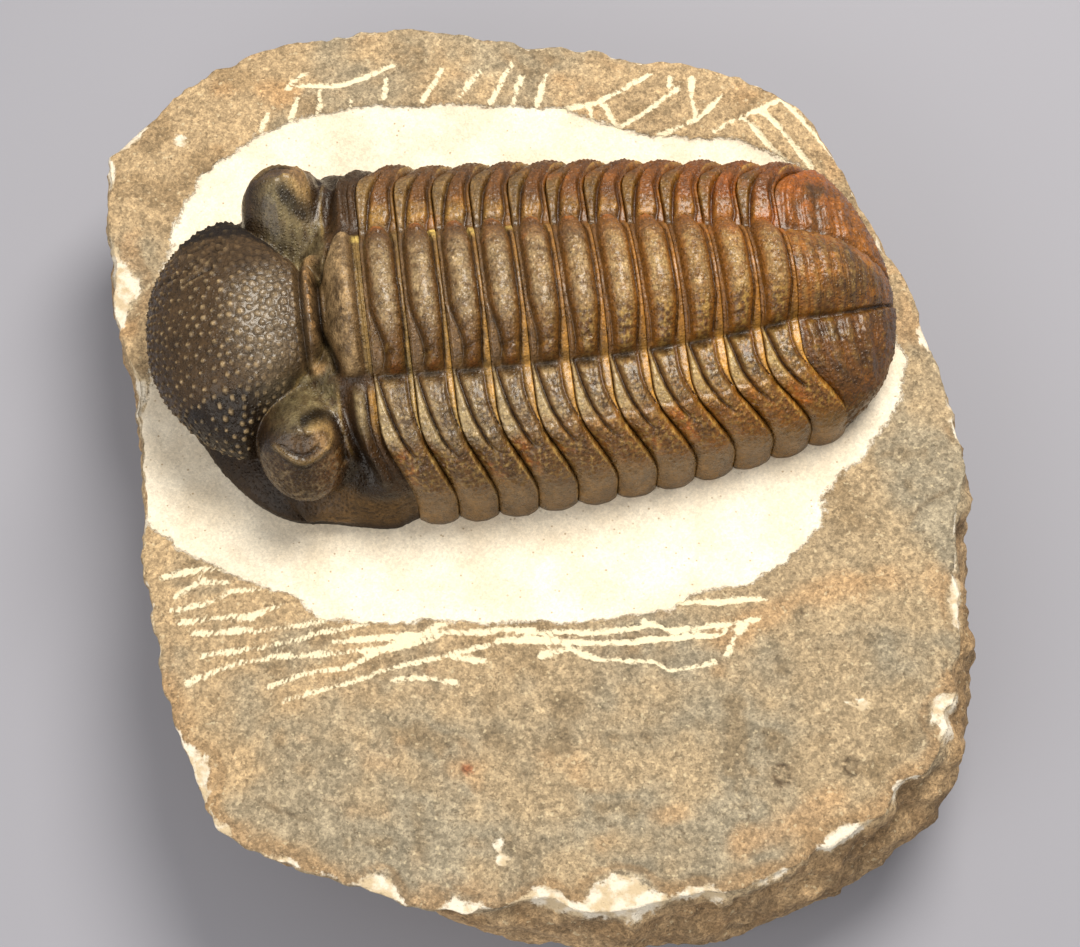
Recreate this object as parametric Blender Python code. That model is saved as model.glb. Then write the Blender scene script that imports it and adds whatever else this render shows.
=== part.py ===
"""A large phacopid trilobite, prepared in relief on a slab of the limestone that it was found in.

The exoskeleton is the thirteen plates that the living animal had: the head shield (cephalon), eleven
thoracic segments and the tail shield (pygidium). They lie on the matrix, a broken slab with a flat base.

Lengths are in millimetres until a solid is built, where MM turns them into metres. The body has its own
frame: x runs from head to tail and is 0 where the thorax begins, y is the distance from the midline and
z the height above the bed that the plates lie on. place_body() turns that frame into the layout of the
slab, and in_metres() turns the layout into the part's frame: +Z up, its origin at the centre of the base.
"""

import math

import bmesh
import bpy
import numpy as np

MM = 0.001
GAP = 0.3  # clearance between touching solids
ORIGIN = (0.05, 2.23)  # the middle of the slab's box, in the layout that the outline and body are drawn in

# The slab.
SLAB_TOP = 30.0  # height of the weathered upper surface
BED_HEIGHT = 28.0  # height of the floor that was ground down round the fossil
BED_CENTRE = (1.0, 18.0)
BED_RADII = (62.0, 34.0)  # half length and half width of the level floor
BED_SLOPE_WIDTH = 14.0  # the floor climbs to the weathered surface over this width
BASE_INSET = 5.0  # the flat base is smaller than the slab by this much all round
RIM_INSET = 1.0  # from the widest outline in to the rim of the upper surface
CORNER_BEARING, CORNER_SPREAD, CORNER_LOSS = math.radians(-50), 1.1, 3.4  # a corner broken off from above
OVERHANG_BEARINGS = (-2.8, -2.5, -1.75, -1.55)  # where the front left side fades in and fades out
OVERHANG_SLOPE = 0.25  # and how far it falls back under the rim, per unit of depth
OVERHANG_RIM = 0.8  # the rim reaches further out over it
ROUGHNESS = 0.8  # of the broken sides
# The slab's widest outline, counter-clockwise from the right: corners of a broken stone.
SLAB_OUTLINE = [
    (67, 6), (65, 12), (62, 24), (58, 33), (53, 44), (47, 56), (42, 62), (35, 67), (19, 70),
    (-1, 73), (-12, 75), (-20, 76), (-34, 74), (-47, 70), (-54, 66), (-61, 59), (-68, 52),
    (-67, 43), (-66, 34), (-65, 24), (-61, 12), (-59, 2), (-57, -11), (-54, -28), (-50, -42),
    (-47, -50), (-43, -58), (-36.5, -62), (-29, -64.5), (-22, -66.5), (-12, -69.8), (-6, -71),
    (5, -71.5), (16, -71.5), (27, -70.5), (41, -66), (51, -60), (59, -54), (64, -45), (66, -29),
    (66, -15), (68, -3),
]  # fmt: skip
SPOKES = 64

# The body.
BODY_ORIGIN = (-23.5, 15.8)  # where the midline meets the front of the thorax
BODY_TURN = math.radians(4.9)
BODY_SKEW = math.radians(2.3)  # the near side lags a little behind the far side
SEGMENTS = 11
SEGMENT_LENGTH = 5.71
THORAX_LENGTH = SEGMENTS * SEGMENT_LENGTH
PYGIDIUM_LENGTH = 17.6
FRONT_HALF_WIDTH = 28.0
REAR_HALF_WIDTH = (19.0, 23.2)  # on the near side and on the far side, where the fossil is splayed
FRONT_AXIAL_HALF_WIDTH = 11.7
REAR_AXIAL_HALF_WIDTH = (6.6, 8.0)  # near side, far side
FURROW_HEIGHT = 18.0  # height of the two axial furrows over the bed
AXIAL_RISE = 5.6  # height of the axial lobe over its furrows
RIM_HEIGHT = 0.8  # every plate ends in an upright edge of this height
AXIAL_SHARE = 0.36  # share of each half of the arch that the axial lobe takes
PLEURAL_SQUARENESS = 2.7  # exponent of the superellipse that the pleura follows
TIP_ROUNDING = 1.2  # how far the corners of each pleural tip are rounded back
FULCRUM = 0.18  # share of the pleura where it bends down and backward
FRONT_SWEEP, MORE_REAR_SWEEP = 4.2, 3.0  # how far it turns back beside the head, and how much more at the tail
HEART_HEIGHT = 4.0  # relief is raised away from a line at this height
RING_HEIGHT = 1.5  # relief of each axial ring
FRONT_BAND, REAR_BAND = 0.5, 1.0  # relief of the two bands of a pleura, either side of its furrow
OVERLAP = 1.5  # relief of a pleural tip's rear edge over the next tip
LOBE_EDGE = 0.75  # share of the relief that is lost along the axial furrows


def smooth_step(low, high, value):
    share = np.clip((value - low) / (high - low), 0.0, 1.0)
    return share * share * (3.0 - 2.0 * share)


def hump(value, centre, half_width):
    """1 at the centre, falling smoothly to 0 at half_width either side."""
    away = np.clip(np.abs(value - centre) / half_width, 0.0, 1.0)
    return 0.5 + 0.5 * np.cos(np.pi * away)


def smooth_max(first, second, blend):
    share = np.clip(0.5 + 0.5 * (first - second) / blend, 0.0, 1.0)
    return second + (first - second) * share + blend * share * (1.0 - share)


def axial_half_width(station, across):
    """Half width of the axial lobe; station runs from 0 at the head to 1 at the tail."""
    near, far = REAR_AXIAL_HALF_WIDTH
    rear = np.where(across > 0, far, near)
    return FRONT_AXIAL_HALF_WIDTH + (rear - FRONT_AXIAL_HALF_WIDTH) * station**3


def half_width(station, across):
    near, far = REAR_HALF_WIDTH
    rear = np.where(across > 0, far, near)
    return FRONT_HALF_WIDTH + (rear - FRONT_HALF_WIDTH) * station**2.2


def furrow_height(station):
    return FURROW_HEIGHT - 1.5 * station**2


def pleural_share(across):
    """0 over the axial lobe, rising to 1 at the pleural tip."""
    return np.clip((np.abs(across) - AXIAL_SHARE) / (1.0 - AXIAL_SHARE), 0.0, 1.0)


def arch(across, axial, width, furrow, rise):
    """The bare cross-section: across is 0 on the midline and -1 or 1 at the tips."""
    on_axis = np.clip(np.abs(across) / AXIAL_SHARE, 0.0, 1.0)
    floor = math.sqrt(1.0 - 0.95**2)
    crown = (np.sqrt(1.0 - (0.95 * on_axis) ** 2) - floor) / (1.0 - floor)
    angle = pleural_share(across) * math.pi / 2
    power = 2.0 / PLEURAL_SQUARENESS
    y = axial * on_axis + (width - axial) * np.sin(angle) ** power
    z = furrow + rise * crown
    z = np.where(on_axis < 1.0, z, RIM_HEIGHT + (furrow - RIM_HEIGHT) * np.abs(np.cos(angle)) ** power)
    return y * np.sign(across), z


def sweep(across, station):
    """How far a plate's edge lies behind its place on the midline: the pleurae turn back at the fulcrum."""
    reach = FRONT_SWEEP + MORE_REAR_SWEEP * station
    return reach * smooth_step(FULCRUM, 0.92, pleural_share(across))


def raise_from_axis(y, z, amount):
    """Moves points of a cross-section away from a line low inside the body."""
    length = np.hypot(y, z - HEART_HEIGHT)
    return y + amount * y / length, z + amount * (z - HEART_HEIGHT) / length


def segment_relief(along, across):
    """Height of one segment's relief: along is 0 at its front edge and 1 at its rear edge."""
    ring = RING_HEIGHT * smooth_step(0.02, 0.24, along) * (1.0 - smooth_step(0.82, 0.98, along))
    out = pleural_share(across)
    furrow = 0.32 + 0.12 * out
    bands = FRONT_BAND * hump(along, furrow - 0.2, 0.18) + REAR_BAND * hump(along, furrow + 0.33, 0.3)
    tile = OVERLAP * smooth_step(0.0, 0.8, along) * (1.0 - smooth_step(0.84, 1.0, along))
    level_edges = smooth_step(0.0, 0.1, along) * (1.0 - smooth_step(0.88, 1.0, along))
    pleura = bands * level_edges + (tile - bands * level_edges) * smooth_step(0.3, 0.6, out)
    on_pleura = smooth_step(AXIAL_SHARE - 0.01, AXIAL_SHARE + 0.03, np.abs(across))
    lobe_edge = 1.0 - LOBE_EDGE * hump(np.abs(across), AXIAL_SHARE, 0.03)
    return (ring + (pleura - ring) * on_pleura) * lobe_edge


def segment_surface(index, along, across):
    """Upper surface of one thoracic segment, in the body's frame."""
    station = (index + along) / SEGMENTS
    width = half_width(station, across) - TIP_ROUNDING * np.abs(2.0 * along - 1.0) ** 2.5
    axial = axial_half_width(station, across)
    y, z = arch(across, axial, width, furrow_height(station), AXIAL_RISE)
    y, z = raise_from_axis(y, z, segment_relief(along, across))
    margin = GAP / 2
    x = margin + along * (SEGMENT_LENGTH - 2 * margin)
    x = x + index * SEGMENT_LENGTH + sweep(across, station)
    return np.stack([x, y, np.maximum(z, RIM_HEIGHT)], axis=-1)


# The head shield. Its surface is measured along rays from a spine inside it: across the rear half they
# lie in upright planes, and in front of the fan's centre they turn forward until they are level.
FAN_CENTRE = -12.0
FAN_SHARE = 0.5  # share of the rows that lie in front of the fan's centre
GLABELLA_CENTRE, GLABELLA_RADII = (-18.6, 0.0, 9.0), (14.8, 19.6, 13.6)
NECK_CENTRE, NECK_RADII = (-11.0, 0.0, 9.5), (8.6, 10.8, 12.4)
FURROW_START, FURROW_BEARING = (-8.6, 7.4), math.radians(46)  # the glabella widens forward between these
CHEEK_LENGTH, CHEEK_HALF_WIDTH, CHEEK_HEIGHT = 20.6, 26.3, 15.5
EYE_X, EYE_HALF_LENGTH = -11.4, 7.2
EYE_TILT, EYE_HALF_TILT = math.radians(58), math.radians(18)
EYE_REACH = 29.2  # from the spine to the lenses
HEAD_ROWS, HEAD_COLUMNS = 30, 44
KNOB_HEIGHT = 0.35  # the glabella's tubercles
DOME_FURROW_DEPTH, DOME_FURROW_WIDTH = 1.1, 1.5  # the furrow that runs round the glabella
BORDER_HEIGHT, BORDER_FURROW_DEPTH = 0.9, 0.8  # the rim of the shield and the furrow inside it
REAR_BORDER_HEIGHT, REAR_FURROW_DEPTH = 0.9, 1.3
OCCIPITAL_HEIGHT, OCCIPITAL_FURROW_DEPTH, L1_FURROW_DEPTH = 1.4, 1.3, 1.1
NODE_HEIGHT, NODE_RADIUS = 1.3, 2.0  # a node at each end of the ring in front of the occipital ring
NODE_PLACE = (-7.9, 8.6)
RING_FRONT, L1_FRONT = -6.5, -9.4  # furrows in front of the occipital ring and of the ring before it


def distance_to_ellipsoid(origin, direction, centre, radii):
    """How far each ray goes before it leaves the ellipsoid; past the ellipsoid's limb it falls off to 0."""
    start = (origin - np.array(centre)) / np.array(radii)
    step = direction / np.array(radii)
    a = (step * step).sum(-1)
    b = (start * step).sum(-1)
    c = (start * start).sum(-1) - 1.0
    inside = b * b - a * c
    return (-b / a) * smooth_step(-0.3, 0.0, inside / a) + np.sqrt(np.maximum(inside, 0.0)) / a


def distance_to_furrow(origin, direction):
    """How far each ray goes before it meets the steep plane that ends the glabella on its side."""
    normal = np.array([math.cos(FURROW_BEARING), math.sin(FURROW_BEARING), 0.35])
    foot = np.array([*FURROW_START, FURROW_HEIGHT - 1.0])
    mirrored = np.stack([origin[..., 0], 0 * origin[..., 1], origin[..., 2]], axis=-1)
    outward = direction * [1.0, 0.0, 1.0] + np.abs(direction) * [0.0, 1.0, 0.0]
    approach = np.maximum(outward @ normal, 1e-3)
    return np.clip(((foot - mirrored) @ normal) / approach, 0.0, 60.0)


def cheek_distance(origin, direction):
    """The shield without the glabella: pointed in plan, rounded in height."""
    wider = smooth_step(FAN_CENTRE, 2.0, origin[..., 0])
    plan = (np.abs(direction[..., 0]) / CHEEK_LENGTH) ** 1.6
    plan = plan + (np.abs(direction[..., 1]) / (CHEEK_HALF_WIDTH + 2.0 * wider)) ** 1.6
    fullness = 2.3 + 0.4 * wider
    upward = (np.abs(direction[..., 2]) / (CHEEK_HEIGHT + 2.0 * wider)) ** fullness
    return (plan ** (fullness / 1.6) + upward) ** (-1.0 / fullness)


def soften(grid):
    """Eases each grid point towards its neighbours; the rear edge keeps its place."""
    wide = np.pad(grid, 1, mode="edge")
    eased = grid / 2 + (wide[:-2, 1:-1] + wide[2:, 1:-1] + wide[1:-1, :-2] + wide[1:-1, 2:]) / 8
    eased[-1] = grid[-1]
    return eased


def head_surface(along, across):
    """Upper surface of the head shield: along is 0 at its front rim and 1 where it meets the thorax."""
    width = FRONT_HALF_WIDTH - TIP_ROUNDING * smooth_step(0.9, 1.0, along)
    arch_y, arch_z = arch(across, FRONT_AXIAL_HALF_WIDTH, width, FURROW_HEIGHT, AXIAL_RISE)
    tilt = np.arctan2(arch_y, arch_z - RIM_HEIGHT)
    fan = (1.0 - np.clip(along / FAN_SHARE, 0.0, 1.0)) * math.pi / 2
    back = np.clip((along - FAN_SHARE) / (1.0 - FAN_SHARE), 0.0, 1.0)
    rear_edge = sweep(across, 0.0) - GAP / 2
    x0 = FAN_CENTRE + (rear_edge - FAN_CENTRE) * back
    origin = np.stack([x0, 0 * x0, 0 * x0 + RIM_HEIGHT], axis=-1)
    direction = np.stack(
        [-np.sin(fan) * np.cos(tilt), np.sin(tilt), np.cos(fan) * np.cos(tilt)], axis=-1
    )
    cheek = cheek_distance(origin, direction)
    thorax_like = np.hypot(arch_y, arch_z - RIM_HEIGHT)
    cheek = cheek + (thorax_like - cheek) * smooth_step(0.3, 0.85, back)
    glabella = distance_to_ellipsoid(origin, direction, GLABELLA_CENTRE, GLABELLA_RADII)
    furrow = distance_to_furrow(origin, direction)
    glabella = -smooth_max(-glabella, -furrow, 3.0)
    neck = distance_to_ellipsoid(origin, direction, NECK_CENTRE, NECK_RADII)
    dome = smooth_max(glabella, neck, 2.0)
    point = origin + direction * cheek[..., None]
    cheek = cheek + eye_relief(point[..., 0], np.abs(tilt), cheek)
    distance = soften(smooth_max(cheek, dome, 0.8))
    dome_furrow = DOME_FURROW_DEPTH * np.exp(-(((dome - cheek) / DOME_FURROW_WIDTH) ** 2))
    distance = distance - dome_furrow * (1.0 - smooth_step(0.6, 0.9, back))
    point = origin + direction * distance[..., None]
    on_dome = smooth_step(0.0, 2.5, dome - cheek)
    from_rear = x0 - rear_edge
    distance = distance + head_relief(point[..., 0], point[..., 1], point[..., 2], from_rear, on_dome, across)
    knobs = np.cos(math.pi * along * HEAD_ROWS) * np.cos(math.pi * across * HEAD_COLUMNS / 2)
    distance = distance + KNOB_HEIGHT * on_dome * (from_rear < L1_FRONT) * np.maximum(knobs, 0.0)
    point = origin + direction * distance[..., None]
    point[..., 2] = np.maximum(point[..., 2], RIM_HEIGHT)
    return point


def eye_relief(x, tilt, cheek):
    """A turret on each cheek that carries the lenses on its steep outer side."""
    forward = (x - EYE_X) / EYE_HALF_LENGTH
    down = (tilt - EYE_TILT) / EYE_HALF_TILT
    away = np.hypot(forward, down)
    lenses = EYE_REACH - 3.0 * forward**2 - 0.8 * down**2
    lobe_furrow = 0.9 * hump(np.hypot(forward - 0.1, down + 0.5), 0.42, 0.16)
    return (lenses - lobe_furrow - cheek) * (1.0 - smooth_step(0.7, 1.02, away)) - 0.6 * hump(away, 1.15, 0.2)


def head_relief(x, y, z, from_rear, on_dome, across):
    """Borders, furrows and rings of the head shield."""
    border = BORDER_HEIGHT * hump(z, 2.8, 2.6) - BORDER_FURROW_DEPTH * hump(z, 6.6, 2.2)
    relief = border * (1.0 - on_dome) * (1.0 - smooth_step(-9.0, -3.0, x))
    rear_border = REAR_BORDER_HEIGHT * hump(from_rear, -1.6, 1.6)
    rear_border = rear_border - REAR_FURROW_DEPTH * hump(from_rear, -4.2, 1.8)
    on_cheek = smooth_step(AXIAL_SHARE, AXIAL_SHARE + 0.06, np.abs(across))
    relief = relief + rear_border * on_cheek * (1.0 - smooth_step(0.45, 0.75, pleural_share(across)))
    on_axis = 1.0 - smooth_step(AXIAL_SHARE - 0.04, AXIAL_SHARE, np.abs(across))
    ring = OCCIPITAL_HEIGHT * smooth_step(RING_FRONT, RING_FRONT + 1.2, from_rear)
    ring = ring * (1.0 - smooth_step(-1.8, -0.3, from_rear))
    furrows = OCCIPITAL_FURROW_DEPTH * hump(from_rear, RING_FRONT, 1.0)
    furrows = furrows + L1_FURROW_DEPTH * hump(from_rear, L1_FRONT, 0.9)
    away = np.hypot(x - NODE_PLACE[0], np.abs(y) - NODE_PLACE[1])
    return relief + (ring - furrows) * on_axis + NODE_HEIGHT * hump(away, 0.0, NODE_RADIUS)


# The tail shield.
TAIL_RINGS = 7
TAIL_RING_HEIGHT, TAIL_RIB_HEIGHT = 0.8, 0.9
TAIL_NARROWING = 0.6  # share of the axial lobe's height that is lost by the tip
MARGIN_POWER = 1.4  # shape of the margin in plan: 1 is an ellipse, 2 a straight line


def tail_surface(along, across):
    """Upper surface of the tail shield: every line across its front edge arches down to the margin."""
    turn = along * math.pi / 2
    rise = AXIAL_RISE * (1.0 - TAIL_NARROWING * along)
    full_width = half_width(1.0, across)
    width = full_width - TIP_ROUNDING * (1.0 - along) ** 3
    y, z = arch(across, axial_half_width(1.0, across), width, furrow_height(1.0), rise)
    front = THORAX_LENGTH + GAP / 2 + sweep(across, 1.0)
    tip = THORAX_LENGTH + GAP / 2 + sweep(1.0, 1.0)
    bearing = np.abs(across) ** 1.7 * math.pi / 2
    margin_x = tip + (THORAX_LENGTH + PYGIDIUM_LENGTH - tip) * np.abs(np.cos(bearing)) ** MARGIN_POWER
    margin_y = full_width * np.sin(bearing) ** MARGIN_POWER * np.sign(across)
    x = front + (margin_x - front) * np.sin(turn)
    y = y + (margin_y - y) * (1.0 - np.cos(turn))
    z = RIM_HEIGHT + (z - RIM_HEIGHT) * np.cos(turn)
    outward = np.stack([x - THORAX_LENGTH, 0.6 * y, z - 4.0], axis=-1)
    outward[..., 0] *= smooth_step(0.0, 0.15, along)
    outward /= np.linalg.norm(outward, axis=-1, keepdims=True)
    point = np.stack([x, y, z], axis=-1) + outward * tail_relief(along, across)[..., None]
    point[..., 2] = np.maximum(point[..., 2], RIM_HEIGHT)
    return point


def tail_relief(along, across):
    """Rings down the tail's axis and ribs that fade out before its smooth margin."""
    out = pleural_share(across)
    phase = along * TAIL_RINGS
    ring = TAIL_RING_HEIGHT * (0.5 - 0.5 * np.cos(2 * math.pi * phase))
    ring = ring * (1.0 - smooth_step(0.5, 1.0, along))
    rib = TAIL_RIB_HEIGHT * (0.5 - 0.5 * np.cos(2 * math.pi * (phase - 1.1 * out)))
    rib = rib * (1.0 - smooth_step(0.45, 0.8, out)) * (1.0 - smooth_step(0.45, 0.85, along))
    on_pleura = smooth_step(AXIAL_SHARE - 0.01, AXIAL_SHARE + 0.03, np.abs(across))
    lobe_edge = 1.0 - LOBE_EDGE * hump(np.abs(across), AXIAL_SHARE, 0.03)
    return (ring + (rib - ring) * on_pleura) * lobe_edge * smooth_step(0.0, 0.08, along)


def place_body(points):
    """From the body's frame, in millimetres, to the slab's."""
    x, y, z = points[..., 0], points[..., 1], points[..., 2]
    across_turn = BODY_TURN + BODY_SKEW
    return np.stack(
        [
            BODY_ORIGIN[0] + x * math.cos(BODY_TURN) - y * math.sin(across_turn),
            BODY_ORIGIN[1] + x * math.sin(BODY_TURN) + y * math.cos(across_turn),
            BED_HEIGHT + GAP + z,
        ],
        axis=-1,
    )


def slab_reach(angle):
    """Distance from the bed's centre to the slab's widest outline in each direction."""
    corners = np.array(SLAB_OUTLINE, float) - np.array(BED_CENTRE)
    bearing = np.arctan2(corners[:, 1], corners[:, 0])
    order = np.argsort(bearing)
    return np.interp(angle, bearing[order], np.hypot(*corners[order].T), period=2 * math.pi)


def rough(angle, level, seed):
    """A repeatable roughness between -1 and 1 made of a few waves round the slab."""
    waves = [(7, 1.3), (13, 2.1), (19, 0.7), (29, 1.9)]
    total = sum(np.sin(n * angle + k * level + 1.7 * seed + n * seed) / len(waves) for n, k in waves)
    return np.clip(1.4 * total, -1.0, 1.0)


def top_height(x, y):
    """The weathered surface, with the floor that was ground level round the fossil."""
    swell = 0.7 * np.sin(0.075 * x + 0.8) * np.cos(0.06 * y - 0.5) + 0.35 * np.sin(0.19 * x - 0.13 * y)
    away = np.hypot((x - BED_CENTRE[0]) / BED_RADII[0], (y - BED_CENTRE[1]) / BED_RADII[1])
    outside = (away - 1.0) * BED_RADII[1]
    climb = smooth_step(0.0, BED_SLOPE_WIDTH, outside)
    return BED_HEIGHT + (SLAB_TOP - BED_HEIGHT + swell) * climb


# Rings of the slab's skin from the middle of the bed out over the edge and under to the middle of the
# base: the share of the way out, then for the sides the inset from the outline and the height.
TOP_SHARES = (0.45, 0.8, 1.0, 0.18, 0.38, 0.58, 0.78, 0.92)
BED_RINGS = 3
SIDE_RINGS = ((0.3, 28.0), (0.0, 23.5), (0.2, 17.5), (0.8, 12.0), (1.8, 6.0), (3.4, 1.8), (BASE_INSET, 0.0))
BASE_SHARE = 0.5


def slab_ring(ring, angle):
    """Points of one ring of the slab's skin, counted from the middle of the bed."""
    reach = slab_reach(angle)
    across = np.stack([np.cos(angle), np.sin(angle)], axis=-1)
    bed = 1.0 / np.hypot(across[:, 0] / BED_RADII[0], across[:, 1] / BED_RADII[1])
    bed = np.minimum(bed, reach - 4.5)
    from_corner = np.angle(np.exp(1j * (angle - CORNER_BEARING)))
    corner_loss = CORNER_LOSS * hump(from_corner, 0.0, CORNER_SPREAD)
    begin, full, easing, end = OVERHANG_BEARINGS
    overhang = smooth_step(begin, full, angle) * (1.0 - smooth_step(easing, end, angle))
    rim = reach - RIM_INSET - corner_loss + OVERHANG_RIM * overhang
    if ring < len(TOP_SHARES):
        share = TOP_SHARES[ring]
        distance = bed * share if ring < BED_RINGS else bed + (rim - bed) * share
        x, y = (np.array(BED_CENTRE) + across * distance[:, None]).T
        return np.stack([x, y, top_height(x, y)], axis=-1)
    side = ring - len(TOP_SHARES)
    if side < len(SIDE_RINGS):
        inset, height = SIDE_RINGS[side]
        steep = 1.0 if 0 < side < len(SIDE_RINGS) - 1 else 0.35
        distance = reach - inset + ROUGHNESS * steep * rough(angle, height, side) * (height > 0)
        distance = distance - OVERHANG_SLOPE * (SIDE_RINGS[0][1] - height) * overhang
        distance = distance - corner_loss * smooth_step(17.5, 28.2, np.full_like(angle, height))
        height = height + (1.0 * rough(angle, 3.0, side + 5) if 0.0 < height < 28.0 else 0.0)
    else:
        distance = (reach - BASE_INSET - OVERHANG_SLOPE * SIDE_RINGS[0][1] * overhang) * BASE_SHARE
        height = 0.0
    x, y = (np.array(BED_CENTRE) + across * distance[:, None]).T
    return np.stack([x, y, 0 * x + height], axis=-1)


def in_metres(points):
    """From the layout in millimetres to the part's frame, which stands on its origin."""
    return (points - np.array([*ORIGIN, 0.0])) * MM


def material(name, colour, roughness):
    """A plain finish in the part's colour."""
    made = bpy.data.materials.new(name)
    made.use_nodes = True
    shader = made.node_tree.nodes["Principled BSDF"]
    shader.inputs["Base Color"].default_value = (*colour, 1.0)
    shader.inputs["Roughness"].default_value = roughness
    shader.inputs["Metallic"].default_value = 0.0
    return made


def add_object(name, bm, finish, collection):
    bmesh.ops.recalc_face_normals(bm, faces=bm.faces)
    mesh = bpy.data.meshes.new(name)
    bm.to_mesh(mesh)
    bm.free()
    mesh.materials.append(finish)
    mesh.shade_smooth()
    mesh.set_sharp_from_angle(angle=math.radians(40))
    made = bpy.data.objects.new(name, mesh)
    collection.objects.link(made)
    return made


def plate(name, surface, rows, columns, finish, collection):
    """A grid bent into surface(along, across), then closed by upright walls and a flat underside."""
    bm = bmesh.new()
    bmesh.ops.create_grid(bm, x_segments=columns, y_segments=rows, size=1.0)
    along, across = np.meshgrid(np.linspace(0, 1, rows + 1), np.linspace(-1, 1, columns + 1), indexing="ij")
    points = in_metres(place_body(surface(along, across)))
    for vertex in bm.verts:
        row = round((vertex.co.y + 1) / 2 * rows)
        column = round((vertex.co.x + 1) / 2 * columns)
        vertex.co = points[row, column]
    bmesh.ops.remove_doubles(bm, verts=bm.verts, dist=0.02 * MM)
    rim = [edge for edge in bm.edges if edge.is_boundary]
    walls = bmesh.ops.extrude_edge_only(bm, edges=rim)["geom"]
    for vertex in (part for part in walls if isinstance(part, bmesh.types.BMVert)):
        vertex.co.z = (BED_HEIGHT + GAP) * MM
    bmesh.ops.contextual_create(bm, geom=[edge for edge in bm.edges if edge.is_boundary])
    return add_object(name, bm, finish, collection)


def slab(name, finish, collection):
    """A sphere's rings laid over the slab: its north pole is the middle of the bed."""
    rings = len(TOP_SHARES) + len(SIDE_RINGS) + 1
    bm = bmesh.new()
    bmesh.ops.create_uvsphere(bm, u_segments=SPOKES, v_segments=rings + 1, radius=1.0)
    for vertex in bm.verts:
        polar = math.acos(max(-1.0, min(1.0, vertex.co.z)))
        ring = round(polar / math.pi * (rings + 1)) - 1
        if ring in (-1, rings):
            point = np.array([*BED_CENTRE, BED_HEIGHT if ring < 0 else 0.0])
        else:
            angle = math.atan2(vertex.co.y, vertex.co.x)
            point = slab_ring(ring, np.array([angle]))[0]
        vertex.co = in_metres(point)
    return add_object(name, bm, finish, collection)


SEGMENT_ROWS, SEGMENT_COLUMNS = 5, 24
TAIL_ROWS, TAIL_COLUMNS = 14, 26
LIMESTONE_TAN = (0.42, 0.34, 0.22)
HEAD_BROWN, BODY_AMBER = (0.03, 0.022, 0.018), (0.13, 0.065, 0.025)
ROCK_ROUGHNESS, HEAD_ROUGHNESS, BODY_ROUGHNESS = 0.9, 0.38, 0.35


def main():
    for old in list(bpy.data.objects):
        bpy.data.objects.remove(old)
    collection = bpy.data.collections.new("trilobite_fossil")
    bpy.context.scene.collection.children.link(collection)
    limestone = material("limestone", LIMESTONE_TAN, ROCK_ROUGHNESS)
    dark_calcite = material("dark_calcite", HEAD_BROWN, HEAD_ROUGHNESS)
    amber_calcite = material("amber_calcite", BODY_AMBER, BODY_ROUGHNESS)
    slab("matrix", limestone, collection)
    plate("cephalon", head_surface, HEAD_ROWS, HEAD_COLUMNS, dark_calcite, collection)
    for index in range(SEGMENTS):
        plate(
            f"thoracic_segment_{index + 1:02d}",
            lambda along, across: segment_surface(index, along, across),
            SEGMENT_ROWS,
            SEGMENT_COLUMNS,
            amber_calcite,
            collection,
        )
    plate("pygidium", tail_surface, TAIL_ROWS, TAIL_COLUMNS, amber_calcite, collection)


main()
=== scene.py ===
"""The finish of a trilobite fossil on its slab of limestone.

Each CAD node is replaced by a fine mesh of the same form: the thirteen plates of the exoskeleton, with
their tubercles, lenses, rings, furrows and ribs, and the weathered, air-abraded and scratched slab.

Shapes are worked out in millimetres in the body's own frame (x from head to tail, 0 where the thorax
begins; y across; z above the bed) or in the slab's layout, as in the CAD source, and then placed.
"""

import math

import bmesh
import bpy
import numpy as np
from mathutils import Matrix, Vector, kdtree


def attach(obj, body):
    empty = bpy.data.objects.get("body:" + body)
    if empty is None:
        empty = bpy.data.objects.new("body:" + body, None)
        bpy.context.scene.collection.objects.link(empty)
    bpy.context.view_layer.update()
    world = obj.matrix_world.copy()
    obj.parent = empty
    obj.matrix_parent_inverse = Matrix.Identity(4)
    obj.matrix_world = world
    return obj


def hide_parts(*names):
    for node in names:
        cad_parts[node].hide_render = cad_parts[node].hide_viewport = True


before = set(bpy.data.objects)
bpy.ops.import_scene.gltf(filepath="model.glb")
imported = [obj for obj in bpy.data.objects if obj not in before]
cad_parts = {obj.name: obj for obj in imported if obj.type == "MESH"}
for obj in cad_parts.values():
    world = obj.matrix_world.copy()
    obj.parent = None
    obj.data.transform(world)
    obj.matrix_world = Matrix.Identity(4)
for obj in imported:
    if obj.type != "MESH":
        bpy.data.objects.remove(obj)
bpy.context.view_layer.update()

MM = 0.001

# ---------------------------------------------------------------- layout, as in the CAD source
SEAM = 0.06  # the fine plates stand this close together
FRONT_LIFT, FAR_LIFT = 1.1, 1.4  # the foremost and rearmost far pleurae bulge up by this much
ORIGIN = (0.05, 2.23)
SLAB_TOP, BED_HEIGHT = 30.0, 28.0
BED_CENTRE, BED_RADII, BED_SLOPE_WIDTH = (1.0, 18.0), (62.0, 34.0), 14.0
BODY_ORIGIN = (-23.5, 15.8)
BODY_TURN, BODY_SKEW = math.radians(4.9), math.radians(2.3)
SEGMENTS, SEGMENT_LENGTH = 11, 5.71
THORAX_LENGTH = SEGMENTS * SEGMENT_LENGTH
PYGIDIUM_LENGTH = 17.6
FRONT_HALF_WIDTH, REAR_HALF_WIDTH = 28.0, (19.0, 23.2)
FRONT_AXIAL_HALF_WIDTH, REAR_AXIAL_HALF_WIDTH = 11.7, (6.6, 8.0)
FURROW_HEIGHT, AXIAL_RISE, RIM_HEIGHT = 18.0, 5.6, 0.8
AXIAL_SHARE, PLEURAL_SQUARENESS, FULCRUM, TIP_ROUNDING = 0.36, 2.7, 0.18, 1.2
LOWEST, ROOT_DEPTH = 0.35, 0.3  # a plate's top keeps above the bed, and its walls go down into it
WELD_DISTANCE = 0.01
DARKEST = 0.002

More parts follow.
